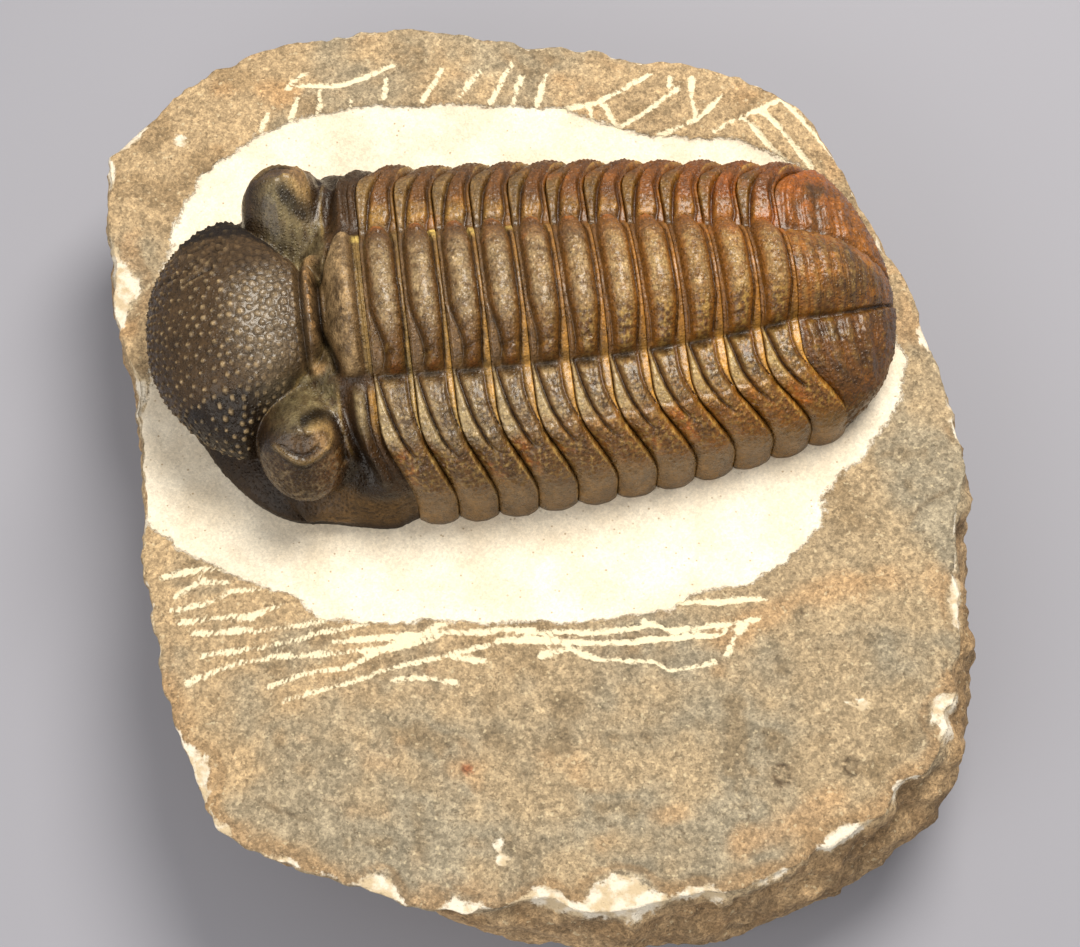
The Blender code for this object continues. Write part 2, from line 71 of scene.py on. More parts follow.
# ---------------------------------------------------------------- grid sizes of the fine meshes
HEAD_ROWS, HEAD_COLUMNS = 300, 306
SEGMENT_ROWS, SEGMENT_COLUMNS = 44, 400
TAIL_ROWS, TAIL_COLUMNS = 150, 300
SLAB_SPOKES = 600


# ---------------------------------------------------------------- small maths
def ramp(low, high, value):
    """Smoothly from 0 at low to 1 at high."""
    share = np.clip((value - low) / (high - low), 0, 1)
    return share * share * (3 - 2 * share)


def fall(low, high, value):
    """Smoothly from 1 at low to 0 at high."""
    return 1 - ramp(low, high, value)


def hump(value, centre, half_width):
    away = np.clip(np.abs(value - centre) / half_width, 0, 1)
    return 0.5 + 0.5 * np.cos(np.pi * away)


def band(value, low, high, soft):
    return ramp(low - soft, low + soft, value) * fall(high - soft, high + soft, value)


def smooth_max(first, second, blend):
    share = np.clip(0.5 + 0.5 * (first - second) / blend, 0, 1)
    return second + (first - second) * share + blend * share * (1 - share)


def mix(first, second, share):
    return first + (second - first) * share


def soften(grid, times):
    """Eases each grid point towards its neighbours; the last row keeps its place."""
    for _ in range(times):
        wide = np.pad(grid, 1, mode="edge")
        eased = grid / 2 + (wide[:-2, 1:-1] + wide[2:, 1:-1] + wide[1:-1, :-2] + wide[1:-1, 2:]) / 8
        eased[-1] = grid[-1]
        grid = eased
    return grid


def lattice(cell, seed):
    """A repeatable number from 0 to 1 for each whole-numbered cell."""
    i, j, k = cell[..., 0], cell[..., 1], cell[..., 2]
    mixed = i * 73856093 ^ j * 19349663 ^ k * 83492791 ^ (seed * 2654435 + 97)
    mixed = (mixed ^ (mixed >> 13)) * 1274126177
    mixed = (mixed ^ (mixed >> 16)) & 0xFFFFFF
    return mixed / float(0xFFFFFF)


def noise(points, size, seed):
    """Smooth value noise from -1 to 1 with features of about the given size."""
    scaled = points / size
    cell = np.floor(scaled).astype(np.int64)
    part = scaled - cell
    part = part * part * (3 - 2 * part)
    total = 0
    for i in (0, 1):
        for j in (0, 1):
            for k in (0, 1):
                corner = np.array([i, j, k])
                weight = np.abs(1 - corner - part).prod(-1)
                total = total + weight * lattice(cell + corner, seed)
    return 2 * total - 1


def layered_noise(points, size, seed, layers=3):
    total, weight = 0, 1
    for layer in range(layers):
        total = total + weight * noise(points, size / 2**layer, seed + 31 * layer)
        weight *= 0.55
    return total / 1.6


def cells(points, size, seed):
    """Distance to the nearest of a set of scattered points, one in each cell, as a share of the size."""
    scaled = points / size
    cell = np.floor(scaled).astype(np.int64)
    best = np.full(points.shape[:-1], 9.0)
    for i in (-1, 0, 1):
        for j in (-1, 0, 1):
            for k in (-1, 0, 1):
                near = cell + np.array([i, j, k])
                spot = np.stack([lattice(near, seed + n) for n in (1, 2, 3)], axis=-1)
                best = np.minimum(best, ((near + 0.15 + 0.7 * spot - scaled) ** 2).sum(-1))
    return np.sqrt(best)


# ---------------------------------------------------------------- the body's form, as in the CAD source
def axial_half_width(station, across):
    near, far = REAR_AXIAL_HALF_WIDTH
    rear = np.where(across > 0, far, near)
    return FRONT_AXIAL_HALF_WIDTH + (rear - FRONT_AXIAL_HALF_WIDTH) * station**3


def half_width(station, across):
    near, far = REAR_HALF_WIDTH
    rear = np.where(across > 0, far, near)
    return FRONT_HALF_WIDTH + (rear - FRONT_HALF_WIDTH) * station**2.2


def furrow_height(station):
    return FURROW_HEIGHT - 1.5 * station**2


def pleural_share(across):
    return np.clip((np.abs(across) - AXIAL_SHARE) / (1 - AXIAL_SHARE), 0, 1)


def axial_share(across):
    return np.clip(np.abs(across) / AXIAL_SHARE, 0, 1)


def arch(across, axial, width, furrow, rise):
    on_axis = axial_share(across)
    floor = math.sqrt(1 - 0.95**2)
    crown = (np.sqrt(1 - (0.95 * on_axis) ** 2) - floor) / (1 - floor)
    angle = pleural_share(across) * math.pi / 2
    power = 2 / PLEURAL_SQUARENESS
    y = axial * on_axis + (width - axial) * np.sin(angle) ** power
    z = furrow + rise * crown
    z = np.where(on_axis < 1, z, RIM_HEIGHT + (furrow - RIM_HEIGHT) * np.abs(np.cos(angle)) ** power)
    return y * np.sign(across), z


def sweep(across, station):
    reach = 4.2 + 3 * station + 0.9 * (np.asarray(across) > 0)
    return reach * ramp(FULCRUM, 0.92, pleural_share(across))


def far_lift(station, across):
    """How far the far pleurae bulge up beyond the even form, at the front and at the rear."""
    amount = FAR_LIFT * station**4 + FRONT_LIFT * fall(0, 0.16, station)
    return amount * ramp(0.3, 0.6, across) * fall(0.85, 1, across)


def raise_from_axis(y, z, amount):
    heart = 4
    length = np.hypot(y, z - heart)
    return y + amount * y / length, z + amount * (z - heart) / length


def place_body(points):
    x, y, z = points[..., 0], points[..., 1], points[..., 2]
    across_turn = BODY_TURN + BODY_SKEW
    return np.stack(
        [
            BODY_ORIGIN[0] + x * math.cos(BODY_TURN) - y * math.sin(across_turn),
            BODY_ORIGIN[1] + x * math.sin(BODY_TURN) + y * math.cos(across_turn),
            BED_HEIGHT + z,
        ],
        axis=-1,
    )


def in_metres(points):
    return (points - np.array([*ORIGIN, 0])) * MM


# ---------------------------------------------------------------- colours
def srgb(red, green, blue):
    """A colour as seen, 0 to 255 each, in the linear values that shaders take."""
    seen = np.array([red, green, blue]) / 255
    return np.where(seen <= 0.04045, seen / 12.92, ((seen + 0.055) / 1.055) ** 2.4)


def paint(tint, *layers):
    """Lays colours over the tint, each where its mask is 1."""
    for colour, mask in layers:
        tint = tint + (colour - tint) * np.clip(mask, 0, 1)[..., None]
    return tint


DEEP = srgb(30, 20, 10)
# dark brown of furrows and specks; also laid on as painted shade and shadow
DARK_BROWN_AND_SHADE = srgb(50, 35, 18)
UMBER = srgb(80, 55, 24)
AMBER = srgb(126, 82, 26)
HONEY = srgb(186, 144, 76)
PALE_TAN = srgb(160, 136, 84)
# grey patina of the calcite; also laid on as painted sheen on the crowns of rings
PATINA_AND_SHEEN = srgb(156, 140, 112)
BAND_GREY = srgb(142, 129, 101)
FACET = srgb(100, 77, 44)
RUST = srgb(148, 84, 24)
INFILL = srgb(206, 186, 112)
PLUM = srgb(96, 76, 52)
HEAD_BLACK = srgb(32, 24, 16)
# grey of a painted sheen on the glabella
HEAD_SHEEN_GREY = srgb(104, 96, 82)
HEAD_BROWN = srgb(64, 46, 28)
KNOB_TIP = srgb(140, 124, 98)
# Casts multiply a finished tint: how warm the light and the calcite make it, place by place.
BODY_CAST, HEAD_CAST = np.array([1.02, 0.94, 0.78]), np.array([1.0, 0.93, 0.80])
FAR_CAST_FRONT, FAR_CAST_REAR = np.array([0.94, 0.86, 0.62]), np.array([0.98, 0.82, 0.4])
REAR_CAST, TAIL_CAST = np.array([1.02, 0.96, 0.72]), np.array([1.0, 0.9, 0.54])
FRONT_STONE_SHADE = np.array([0.14, 0.09, 0.02])
CHEEK_GREY = srgb(108, 100, 76)
STONE_TAN = srgb(164, 141, 108)
STONE_GREY = srgb(146, 132, 108)
STONE_BROWN = srgb(130, 108, 78)
STONE_ORANGE = srgb(184, 142, 96)
STONE_DARK = srgb(84, 68, 50)
SIDE_BROWN = srgb(160, 129, 92)
RUSTY_SPOT = srgb(120, 62, 34)
BRONZE = mix(AMBER, PATINA_AND_SHEEN, 0.5)


# ---------------------------------------------------------------- meshes from grids
def plate_grid(rows, columns):
    """Shares along a plate, from 0 at its front, and across it, from -1 on the near side to 1."""
    return np.meshgrid(np.linspace(0, 1, rows + 1), np.linspace(-1, 1, columns + 1), indexing="ij")


def add_attribute(mesh, name, values):
    kind = "FLOAT_COLOR" if values.ndim == 2 else "FLOAT"
    layer = mesh.attributes.new(name, kind, "POINT")
    if kind == "FLOAT_COLOR":
        rgba = np.ones((len(values), 4), np.float32)
        rgba[:, :3] = np.clip(values, DARKEST, 1)
        layer.data.foreach_set("color", rgba.ravel())
    else:
        layer.data.foreach_set("value", values.astype(np.float32))


def finish_piece(name, mesh, material, node):
    mesh.materials.append(material)
    mesh.shade_smooth()
    piece = bpy.data.objects.new(name, mesh)
    bpy.context.scene.collection.objects.link(piece)
    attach(piece, "root")
    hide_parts(node)


def plate_mesh(name, points, attributes):
    """A closed plate: the grid of surface points, upright walls down from its edge, and an underside."""
    rows, columns = points.shape[:2]
    index = np.arange(rows * columns).reshape(rows, columns)
    quads = np.stack([index[:-1, :-1], index[:-1, 1:], index[1:, 1:], index[1:, :-1]], axis=-1).reshape(-1, 4)
    rim = np.concatenate([index[0, :-1], index[:-1, -1], index[-1, :0:-1], index[:0:-1, 0]])
    top = in_metres(place_body(points)).reshape(-1, 3)
    foot = top[rim].copy()
    foot[:, 2] = (BED_HEIGHT - ROOT_DEPTH) * MM
    lower = rows * columns + np.arange(len(rim))
    walls = np.stack([rim, lower, np.roll(lower, -1), np.roll(rim, -1)], axis=-1)
    mesh = bpy.data.meshes.new(name)
    faces = [*quads.tolist(), *walls.tolist(), lower[::-1].tolist()]
    mesh.from_pydata(np.vstack([top, foot]).tolist(), [], faces)
    for key, values in attributes.items():
        flat = values.reshape(-1, *values.shape[2:])
        add_attribute(mesh, key, np.concatenate([flat, flat[rim]]))
    return mesh


def weld(mesh):
    distance = WELD_DISTANCE * MM
    work = bmesh.new()
    work.from_mesh(mesh)
    bmesh.ops.remove_doubles(work, verts=work.verts, dist=distance)
    bmesh.ops.dissolve_degenerate(work, edges=work.edges, dist=distance)
    bmesh.ops.recalc_face_normals(work, faces=work.faces)
    work.to_mesh(mesh)
    work.free()
    mesh.validate()


# ---------------------------------------------------------------- thorax
def flange_share(across, station):
    """Share of a segment's length that its flat rear flange takes: broadest beside the near axial furrow."""
    on_axis = axial_share(across)
    out = pleural_share(across)
    later = ramp(0.08, 0.4, station)
    near = 0.10 + 0.02 * later + (0.05 + 0.09 * later) * ramp(0.4, 1, on_axis)
    near = near * (1 - 0.92 * ramp(0.06, 0.36, out))
    far = (0.12 + 0.10 * ramp(0.6, 1, on_axis)) * (1 - 0.5 * ramp(0, 0.06, out))
    far = far * (1 - 0.8 * ramp(0.1, 0.6, out))
    return np.where(across < 0, near, far)


def ring_edges(across, station):
    """Where the raised part of an axial ring starts and ends along the segment; it is not quite even."""
    on_axis = axial_share(across)
    near, far = np.where(across < 0, on_axis, 0), np.where(across > 0, on_axis, 0)
    bow = 1 - 0.85 * ramp(0.15, 0.6, station)
    start = 0.13 + bow * (0.27 * ramp(0.25, 0.8, near) - 0.07 * ramp(0.84, 0.94, near))
    start += 0.08 * ramp(0.6, 1, far)
    return start, 0.98 - flange_share(across, station)


def pleural_furrow(across):
    """Where the furrow of a pleura lies along the segment: it runs from front to back on its way out."""
    return np.where(across < 0, 0.1 + 1.15 * pleural_share(across), 0.2 + 0.9 * pleural_share(across))


def segment_relief(along, across, station):
    """The form of one segment: its ring with two side nodes, its grooved pleurae and their overlap."""
    on_axis = axial_share(across)
    out = pleural_share(across)
    start, end = ring_edges(across, station)
    share = flange_share(across, station)
    place = np.clip((along - start + 0.05) / (end - start + 0.06), 0, 1)
    ring = 1.8 * (1 - (2 * place - 1) ** 2) ** 0.75
    ring += 0.3 * ramp(0.02, 0.07, along) * fall(start - 0.12, start - 0.04, along)
    flange = ramp(1 - share + 0.01, 1 - 0.75 * share, along) * fall(0.98, 1, along)
    ring = ring - 0.25 * hump(along, end + 0.01, 0.04) + 0.38 * flange
    notch = hump(on_axis, 0.80 - 0.10 * (along - 0.35), 0.05) * band(along, start - 0.05, 0.6, 0.08)
    notch = notch * (1 - 0.7 * ramp(0.2, 0.6, station))
    ring = (ring - 0.6 * notch) * (1 - ramp(0.89, 1, on_axis) * (1 - 0.6 * flange))

    furrow = pleural_furrow(across)
    front_band = 0.7 * ramp(0.01, 0.05, along) * fall(furrow - 0.08, furrow, along)
    rear_band = ramp(furrow, furrow + 0.17, along) * fall(0.91 - share, 0.985 - share, along)
    inner = front_band + 1.05 * rear_band - 0.4 * hump(along, furrow, 0.06) * fall(0.4, 0.55, out)
    inner += 0.42 * flange
    tile = 1.05 * np.clip(along / 0.94, 0, 1) ** 0.85 * fall(0.965, 1, along)
    tile = tile + 0.12 * hump(along, 0.945, 0.03) + 0.15 * hump(along, 0.5, 0.4)
    tile = tile * (1 - 0.85 * ramp(0.5, 0.92, out))
    pleura = inner + (tile - inner) * ramp(0.3, 0.5, out)
    on_pleura = ramp(AXIAL_SHARE - 0.004, AXIAL_SHARE + 0.014, np.abs(across))
    relief = ring + (pleura - ring) * on_pleura
    lobe_edge = hump(np.abs(across), AXIAL_SHARE + 0.004, 0.014) * band(along, 0.06, 0.95 - share, 0.04)
    return relief - 0.14 * lobe_edge


def segment_points(index, along, across):
    station = (index + along) / SEGMENTS
    width = half_width(station, across) - 0.85 * TIP_ROUNDING * np.abs(2 * along - 1) ** 2.5
    y, z = arch(across, axial_half_width(station, across), width, furrow_height(station), AXIAL_RISE)
    z = z + far_lift(station, across)
    x = SEAM / 2 + along * (SEGMENT_LENGTH - SEAM) + index * SEGMENT_LENGTH + sweep(across, station)
    bare = np.stack([x, y, z], axis=-1)
    inside = ramp(0, 0.06, along) * fall(0.94, 1, along)
    uneven = (0.016 * noise(bare, 5, 40 + index) + 0.007 * noise(bare, 1.1, 41)) * (1 - (2 * along - 1) ** 4)
    relief = segment_relief(along + uneven, across, station)
    out = pleural_share(across)
    grainy = fall(0.7, 0.9, out)
    grains = fall(0.12, 0.48, cells(bare, 0.62, 7)) * grainy
    worn = 0.16 * layered_noise(bare, 2.6, 50) + 0.05 * noise(bare, 0.55, 51)
    lumpy = grains * ramp(0.35, 0.8, relief)
    coarse = fall(0.1, 0.5, cells(bare, 1, 9)) * ramp(0.2, 0.35, out) * grainy * (across < 0)
    relief += (0.2 * lumpy + 0.18 * coarse + worn) * inside
    y, z = raise_from_axis(y, z, relief)
    return np.stack([x, y, np.maximum(z, LOWEST)], axis=-1), relief, bare


def segment_tint(index, along, across, relief, bare):
    """Dark brown at the head end to amber at the tail, honey-coloured along each rear flange."""
    station = (index + along) / SEGMENTS
    on_axis = axial_share(across)
    out = pleural_share(across)
    near, far = 1 - ramp(-0.1, 0, across), ramp(0, 0.25, across)
    mottle = layered_noise(bare, 3.2, 60)
    fine = layered_noise(bare, 0.7, 61, 2)
    streak = layered_noise(bare * [1, 0.3, 0.3], 0.6, 62, 2)
    warm = ramp(0.15, 0.85, station + 0.15 * mottle)
    later = ramp(0.25, 0.6, station)
    tint = UMBER + (AMBER - UMBER) * (0.6 * warm)[..., None]
    start, end = ring_edges(across, station)
    share = flange_share(across, station)
    ring = fall(0.97, 1, on_axis)

    top = ramp(start + 0.04, start + 0.2, along) * fall(end - 0.2, end - 0.04, along) * ring
    middle = fall(0.3, 0.75, on_axis) * (0.75 + 0.25 * mottle)
    orange_end = ramp(0.78, 0.92, on_axis) * (across > 0)
    orange_end = orange_end + 0.5 * ramp(0.84, 0.95, on_axis) * near * (1 - later)
    near_half = ramp(0.35, 0.6, on_axis) * near
    half_ring = ring * fall(start - 0.08, start, along)
    wedge = ring * far * ramp(end - 0.02, end + 0.05, along) * ramp(0.6, 0.9, on_axis)

    # the flange, and the yellow filling beside the far end of each front ring
    place = np.clip((along - 1 + share) / share, 0, 1)
    flange = ramp(0.02, 0.16, place + 0.15 * fine) * fall(0.3, 0.5, out + 0.2 * (across > 0))
    bright = ramp(0.3, 0.55, place + 0.2 * mottle)
    line = mix(PALE_TAN, HONEY, ramp(0, 0.35, station + 0.3 * mottle)[..., None])
    line = mix(line, HONEY * [0.9, 0.74, 0.54], (0.7 * later * ring * fall(0.8, 1, on_axis))[..., None])
    line = line * ((0.36 + 0.26 * bright + 0.2 * fine + 0.14 * mottle) * (1 - 0.25 * ring))[..., None]
    faint = ring * (1 - near * ramp(0.2, 0.9, on_axis))

    furrow = pleural_furrow(across)
    inner = (1 - ring) * fall(0.24, 0.44, out + 0.08 * mottle)
    front_band = inner * band(along, 0.02, furrow - 0.03, 0.03)
    rear_band = inner * band(along, furrow + 0.06, 0.95 - share, 0.05)
    near_grey = mix(BAND_GREY, PLUM, (0.7 * far)[..., None])
    edge_specks = ramp(0.35, 0.6, cells(bare, 0.6, 35)) * rear_band * near * ramp(0.5, 0.8, along + share)
    tint = paint(
        tint,
        # painted sheen: grey on the crown of each ring, speckled
        (PATINA_AND_SHEEN, 0.9 * top * middle * (0.75 + 0.9 * fine)),
        (DARK_BROWN_AND_SHADE, 0.35 * ramp(0.45, 0.7, cells(bare, 0.42, 31)) * top * middle),
        (RUST, 0.75 * top * orange_end * (0.8 + 0.6 * mottle)),
        # darker near half of each ring's top: partly its brown colour, partly painted shade on the side away
        # from the light
        (DARK_BROWN_AND_SHADE, 0.6 * top * near_half * (0.3 + 0.7 * later) * (0.8 + 0.8 * mottle)),
        (DEEP, 0.6 * fall(0.1, 0.24, cells(bare, 0.95, 23)) * top),
        (PALE_TAN, 0.55 * ramp(0.4, 0.7, cells(bare, 0.7, 33)) * top * near_half * later),
        (PLUM, 0.8 * half_ring * (1 - 0.6 * later)),
        # painted shadow along the front edge of each ring, fainter on the later rings
        (DARK_BROWN_AND_SHADE, 0.55 * ring * hump(along, start, 0.06) * (1 - 0.4 * later)),
        (DARK_BROWN_AND_SHADE, 0.4 * ring * hump(along, end + 0.01, 0.05)),
        (line, flange * (0.95 - 0.68 * far * (1 - ring) - 0.5 * faint)),
        (INFILL, 0.9 * wedge * ramp(-0.2, 0.5, mottle) * fall(0.2, 0.5, station)),
        (near_grey, 0.9 * front_band * (0.85 + 0.4 * fine)),
        (mix(BAND_GREY, PLUM, 0.35), 0.8 * rear_band * near * (0.75 + 0.7 * fine)),
        (DARK_BROWN_AND_SHADE, 0.8 * edge_specks),
        (UMBER, 0.6 * near * (1 - ring) * band(along, furrow, furrow + 0.12, 0.04) * fall(0.4, 0.6, out)),
        (AMBER, 0.4 * rear_band * far * (0.7 + 0.6 * mottle)),
        (PALE_TAN, 0.5 * rear_band * far * fall(0.03, 0.14, out) * (0.8 + 0.6 * fine)),
        (DARK_BROWN_AND_SHADE, (0.6 - 0.25 * far) * inner * hump(along, furrow, 0.05)),
        (DARK_BROWN_AND_SHADE, 0.3 * inner * far * hump(along, 0.97 - share, 0.05)),
        (RUST, 0.55 * far * ramp(0.7, 1, station) * ramp(-0.2, 0.5, mottle)),
        (RUST, 0.2 * far * ramp(0.5, 0.75, mottle)),
    )
    tint = tint * (1 - far * (1 - ring) * (0.3 * ramp(0.1, 0.5, station) - 0.3 * streak))[..., None]
    far_cast = mix(FAR_CAST_FRONT, FAR_CAST_REAR, ramp(0.2, 0.7, station)[..., None])
    tint = tint * mix(1, far_cast, (far * (1 - ring))[..., None])

    outer = ramp(0.3, 0.46, out + 0.05 * mottle) * fall(0.62, 0.78, out + 0.06 * mottle)
    tip = ramp(0.62, 0.8, out + 0.08 * mottle - 0.12 * (along - 0.5))
    facet = FACET * (0.92 + 0.3 * streak + 0.2 * mottle)[..., None]
    # painted shadow: the front of each outer pleura is darkened under the rear edge of the segment ahead
    shadow = fall(0.03, 0.14, along) * ramp(0.26, 0.34, out) * fall(0.6, 0.78, out)
    specks = ramp(0.5, 0.75, cells(bare, 0.45, 17)) * fall(0.6, 0.8, out)
    lobe_edge = hump(np.abs(across), AXIAL_SHARE + 0.002, 0.011)
    # painted shade and light: the tint is darkened in hollows of the relief and lightened on its ridges
    relief_shade = np.clip(relief - soften(relief, 20), -0.35, 0.35)
    cast = BODY_CAST * mix(1, REAR_CAST, ramp(0.3, 0.9, station)[..., None])
    tint = paint(
        tint,
        (RUST, 0.55 * near * outer * ramp(0, 0.6, mottle + 0.5 * fine) * band(along, 0.1, 0.5, 0.12)),
        (DARK_BROWN_AND_SHADE, 0.45 * near * outer * band(along, 0.45, 0.9, 0.12) * ramp(-0.3, 0.3, mottle)),
        (PALE_TAN, 0.5 * near * outer * ramp(0.42, 0.7, cells(bare, 0.75, 37)) * (0.6 + fine)),
        (facet, 0.95 * tip),
        (DARK_BROWN_AND_SHADE, 0.5 * shadow),
        (PALE_TAN, 0.55 * hump(along, 0.96, 0.022) * ramp(0.34, 0.5, out) * (0.8 + 0.8 * fine)),
        (UMBER * 0.6, 0.6 * lobe_edge * band(along, 0.04, 0.96 - share, 0.03)),
        (DARK_BROWN_AND_SHADE, 0.35 * specks * (1 - 0.6 * flange)),
    )
    return tint * (1 + 0.75 * relief_shade + 0.15 * mottle + 0.16 * fine)[..., None] * cast


def make_segment(index, material):
    along, across = plate_grid(SEGMENT_ROWS, SEGMENT_COLUMNS)
    points, relief, bare = segment_points(index, along, across)
    name = f"segment_{index + 1:02d}"
    mesh = plate_mesh(name, points, {"tint": segment_tint(index, along, across, relief, bare)})
    finish_piece(name, mesh, material, f"thoracic_{name}")


# ---------------------------------------------------------------- head
FAN_CENTRE, FAN_SHARE = -12, 0.55
GLABELLA_CENTRE, GLABELLA_RADII = (-18.6, 0, 9), (14.8, 19.6, 13.6)
NECK_CENTRE, NECK_RADII = (-11, 0, 9.5), (8.6, 10.8, 12.4)
FURROW_START, FURROW_BEARING = (-8.6, 7.4), math.radians(46)
CHEEK_LENGTH, CHEEK_HALF_WIDTH, CHEEK_HEIGHT = 20.6, 26.3, 15.5
EYE_X, EYE_HALF_LENGTH, LENS_PITCH = -11.4, 7.2, 0.62
EYE_TILT, EYE_HALF_TILT, EYE_REACH = math.radians(58), math.radians(18), 29.2
RING_FRONT, L1_FRONT = -6.5, -9.4


def distance_to_ellipsoid(origin, direction, centre, radii):
    start = (origin - np.array(centre)) / np.array(radii)
    step = direction / np.array(radii)
    a = (step * step).sum(-1)
    b = (start * step).sum(-1)
    c = (start * start).sum(-1) - 1
    inside = b * b - a * c
    return (-b / a) * ramp(-0.3, 0, inside / a) + np.sqrt(np.maximum(inside, 0)) / a


def distance_to_furrow(origin, direction):
    normal = np.array([math.cos(FURROW_BEARING), math.sin(FURROW_BEARING), 0.35])
    foot = np.array([*FURROW_START, FURROW_HEIGHT - 1])
    start = np.stack([origin[..., 0], 0 * origin[..., 1], origin[..., 2]], axis=-1)
    outward = direction * [1, 0, 1] + np.abs(direction) * [0, 1, 0]
    approach = np.maximum(outward @ normal, 1e-3)
    return np.clip(((foot - start) @ normal) / approach, 0, 60)


def cheek_distance(origin, direction):
    wider = ramp(FAN_CENTRE, 2, origin[..., 0])
    plan = (np.abs(direction[..., 0]) / CHEEK_LENGTH) ** 1.6
    plan += (np.abs(direction[..., 1]) / (CHEEK_HALF_WIDTH + 2 * wider)) ** 1.6
    fullness = 2.3 + 0.4 * wider
    upward = (np.abs(direction[..., 2]) / (CHEEK_HEIGHT + 2 * wider)) ** fullness
    return (plan ** (fullness / 1.6) + upward) ** (-1 / fullness)


def scatter(points, allowed, spacing, seed):
    """Picks surface points at random, none closer than the spacing to another."""
    random = np.random.default_rng(seed)
    candidates = np.flatnonzero(allowed)
    random.shuffle(candidates)
    flat = points.reshape(-1, 3)
    room = spacing.reshape(-1)
    taken, chosen = {}, []
    step = float(room.max())
    for candidate in candidates:
        place = flat[candidate]
        cell = tuple((place // step).astype(int))
        near = (
            other
            for i in (-1, 0, 1)
            for j in (-1, 0, 1)
            for k in (-1, 0, 1)
            for other in taken.get((cell[0] + i, cell[1] + j, cell[2] + k), ())
        )
        if all(((other - place) ** 2).sum() > room[candidate] ** 2 for other in near):
            taken.setdefault(cell, []).append(place)
            chosen.append(candidate)
    return np.array(chosen)


def nearest_distance(points, spots):
    """Distance from each point to the nearest spot, and which spot that is."""
    tree = kdtree.KDTree(len(spots))
    for number, spot in enumerate(spots):
        tree.insert(spot, number)
    tree.balance()
    flat = points.reshape(-1, 3)
    found = [tree.find(point)[1:] for point in flat]
    which = np.array([item[0] for item in found]).reshape(points.shape[:-1])
    away = np.array([item[1] for item in found]).reshape(points.shape[:-1])
    return away, which


# Lines on the eye, measured from its middle: shares of its half length forward (backward is more than 0)
# and of its half height down.
LENS_TOP = [(-0.39, -0.43), (-0.27, -0.33), (-0.1, -0.18), (0.08, -0.15), (0.34, -0.23), (0.52, -0.35)]
LOBE_RIDGE = [*LENS_TOP, (0.62, -0.43), (0.62, -0.54), (0.5, -0.65), (0.31, -0.68), (0.18, -0.65)]
LOBE_GROOVE = [(-0.3, -0.42), (-0.13, -0.28), (0.06, -0.25), (0.24, -0.32), (0.36, -0.42)]
LOBE_CREASE = [
    (0.1, -0.76), (0.26, -0.77), (0.42, -0.75), (0.58, -0.68), (0.72, -0.56), (0.82, -0.3), (0.83, 0.1),
]  # fmt: skip


def eye_relief(x, tilt, cheek, far):
    """Returns the turret's height over the cheek and where each point lies on it."""
    forward = (x - EYE_X) / EYE_HALF_LENGTH
    down = (tilt - EYE_TILT) / EYE_HALF_TILT
    away = np.hypot(forward, down)
    reach = EYE_REACH + 0.9 * far - np.where(forward < 0, 6 + 3 * far, 3) * forward**2 - 0.8 * down**2
    height = np.maximum(reach - cheek, 0) * fall(0.66, 1.08, away) - 0.6 * hump(away, 1.15, 0.2)
    return height, forward, down, away


def lobe_relief(forward, down):
    """The palpebral lobe over the lenses, the hollow inside it and the furrow behind it."""
    from_ridge = distance_to_lines(forward, down, [LOBE_RIDGE])
    from_groove = distance_to_lines(forward, down, [LOBE_GROOVE])
    from_crease = distance_to_lines(forward, down, [LOBE_CREASE])
    end = np.hypot(forward - 0.44, down + 0.48)
    hollow = hump(np.hypot((forward + 0.05) / 1.6, down + 0.52), 0, 0.3)
    relief = 0.42 * hump(from_ridge, 0, 0.1) + 0.45 * hump(end, 0, 0.36) - 0.45 * hollow
    relief = relief - 0.3 * hump(from_groove, 0, 0.07) - 0.8 * hump(from_crease, 0, 0.12)
    return relief, from_ridge, from_crease, end, hollow


# Creases of an old injury on the glabella, in plan.
SCARS = [
    [(-30, 7), (-27.5, 6), (-24.5, 8), (-21, 9.5)],
    [(-26, 9.5), (-23, 11), (-20, 11.5)],
    [(-25, 5), (-22, 6.5)],
]


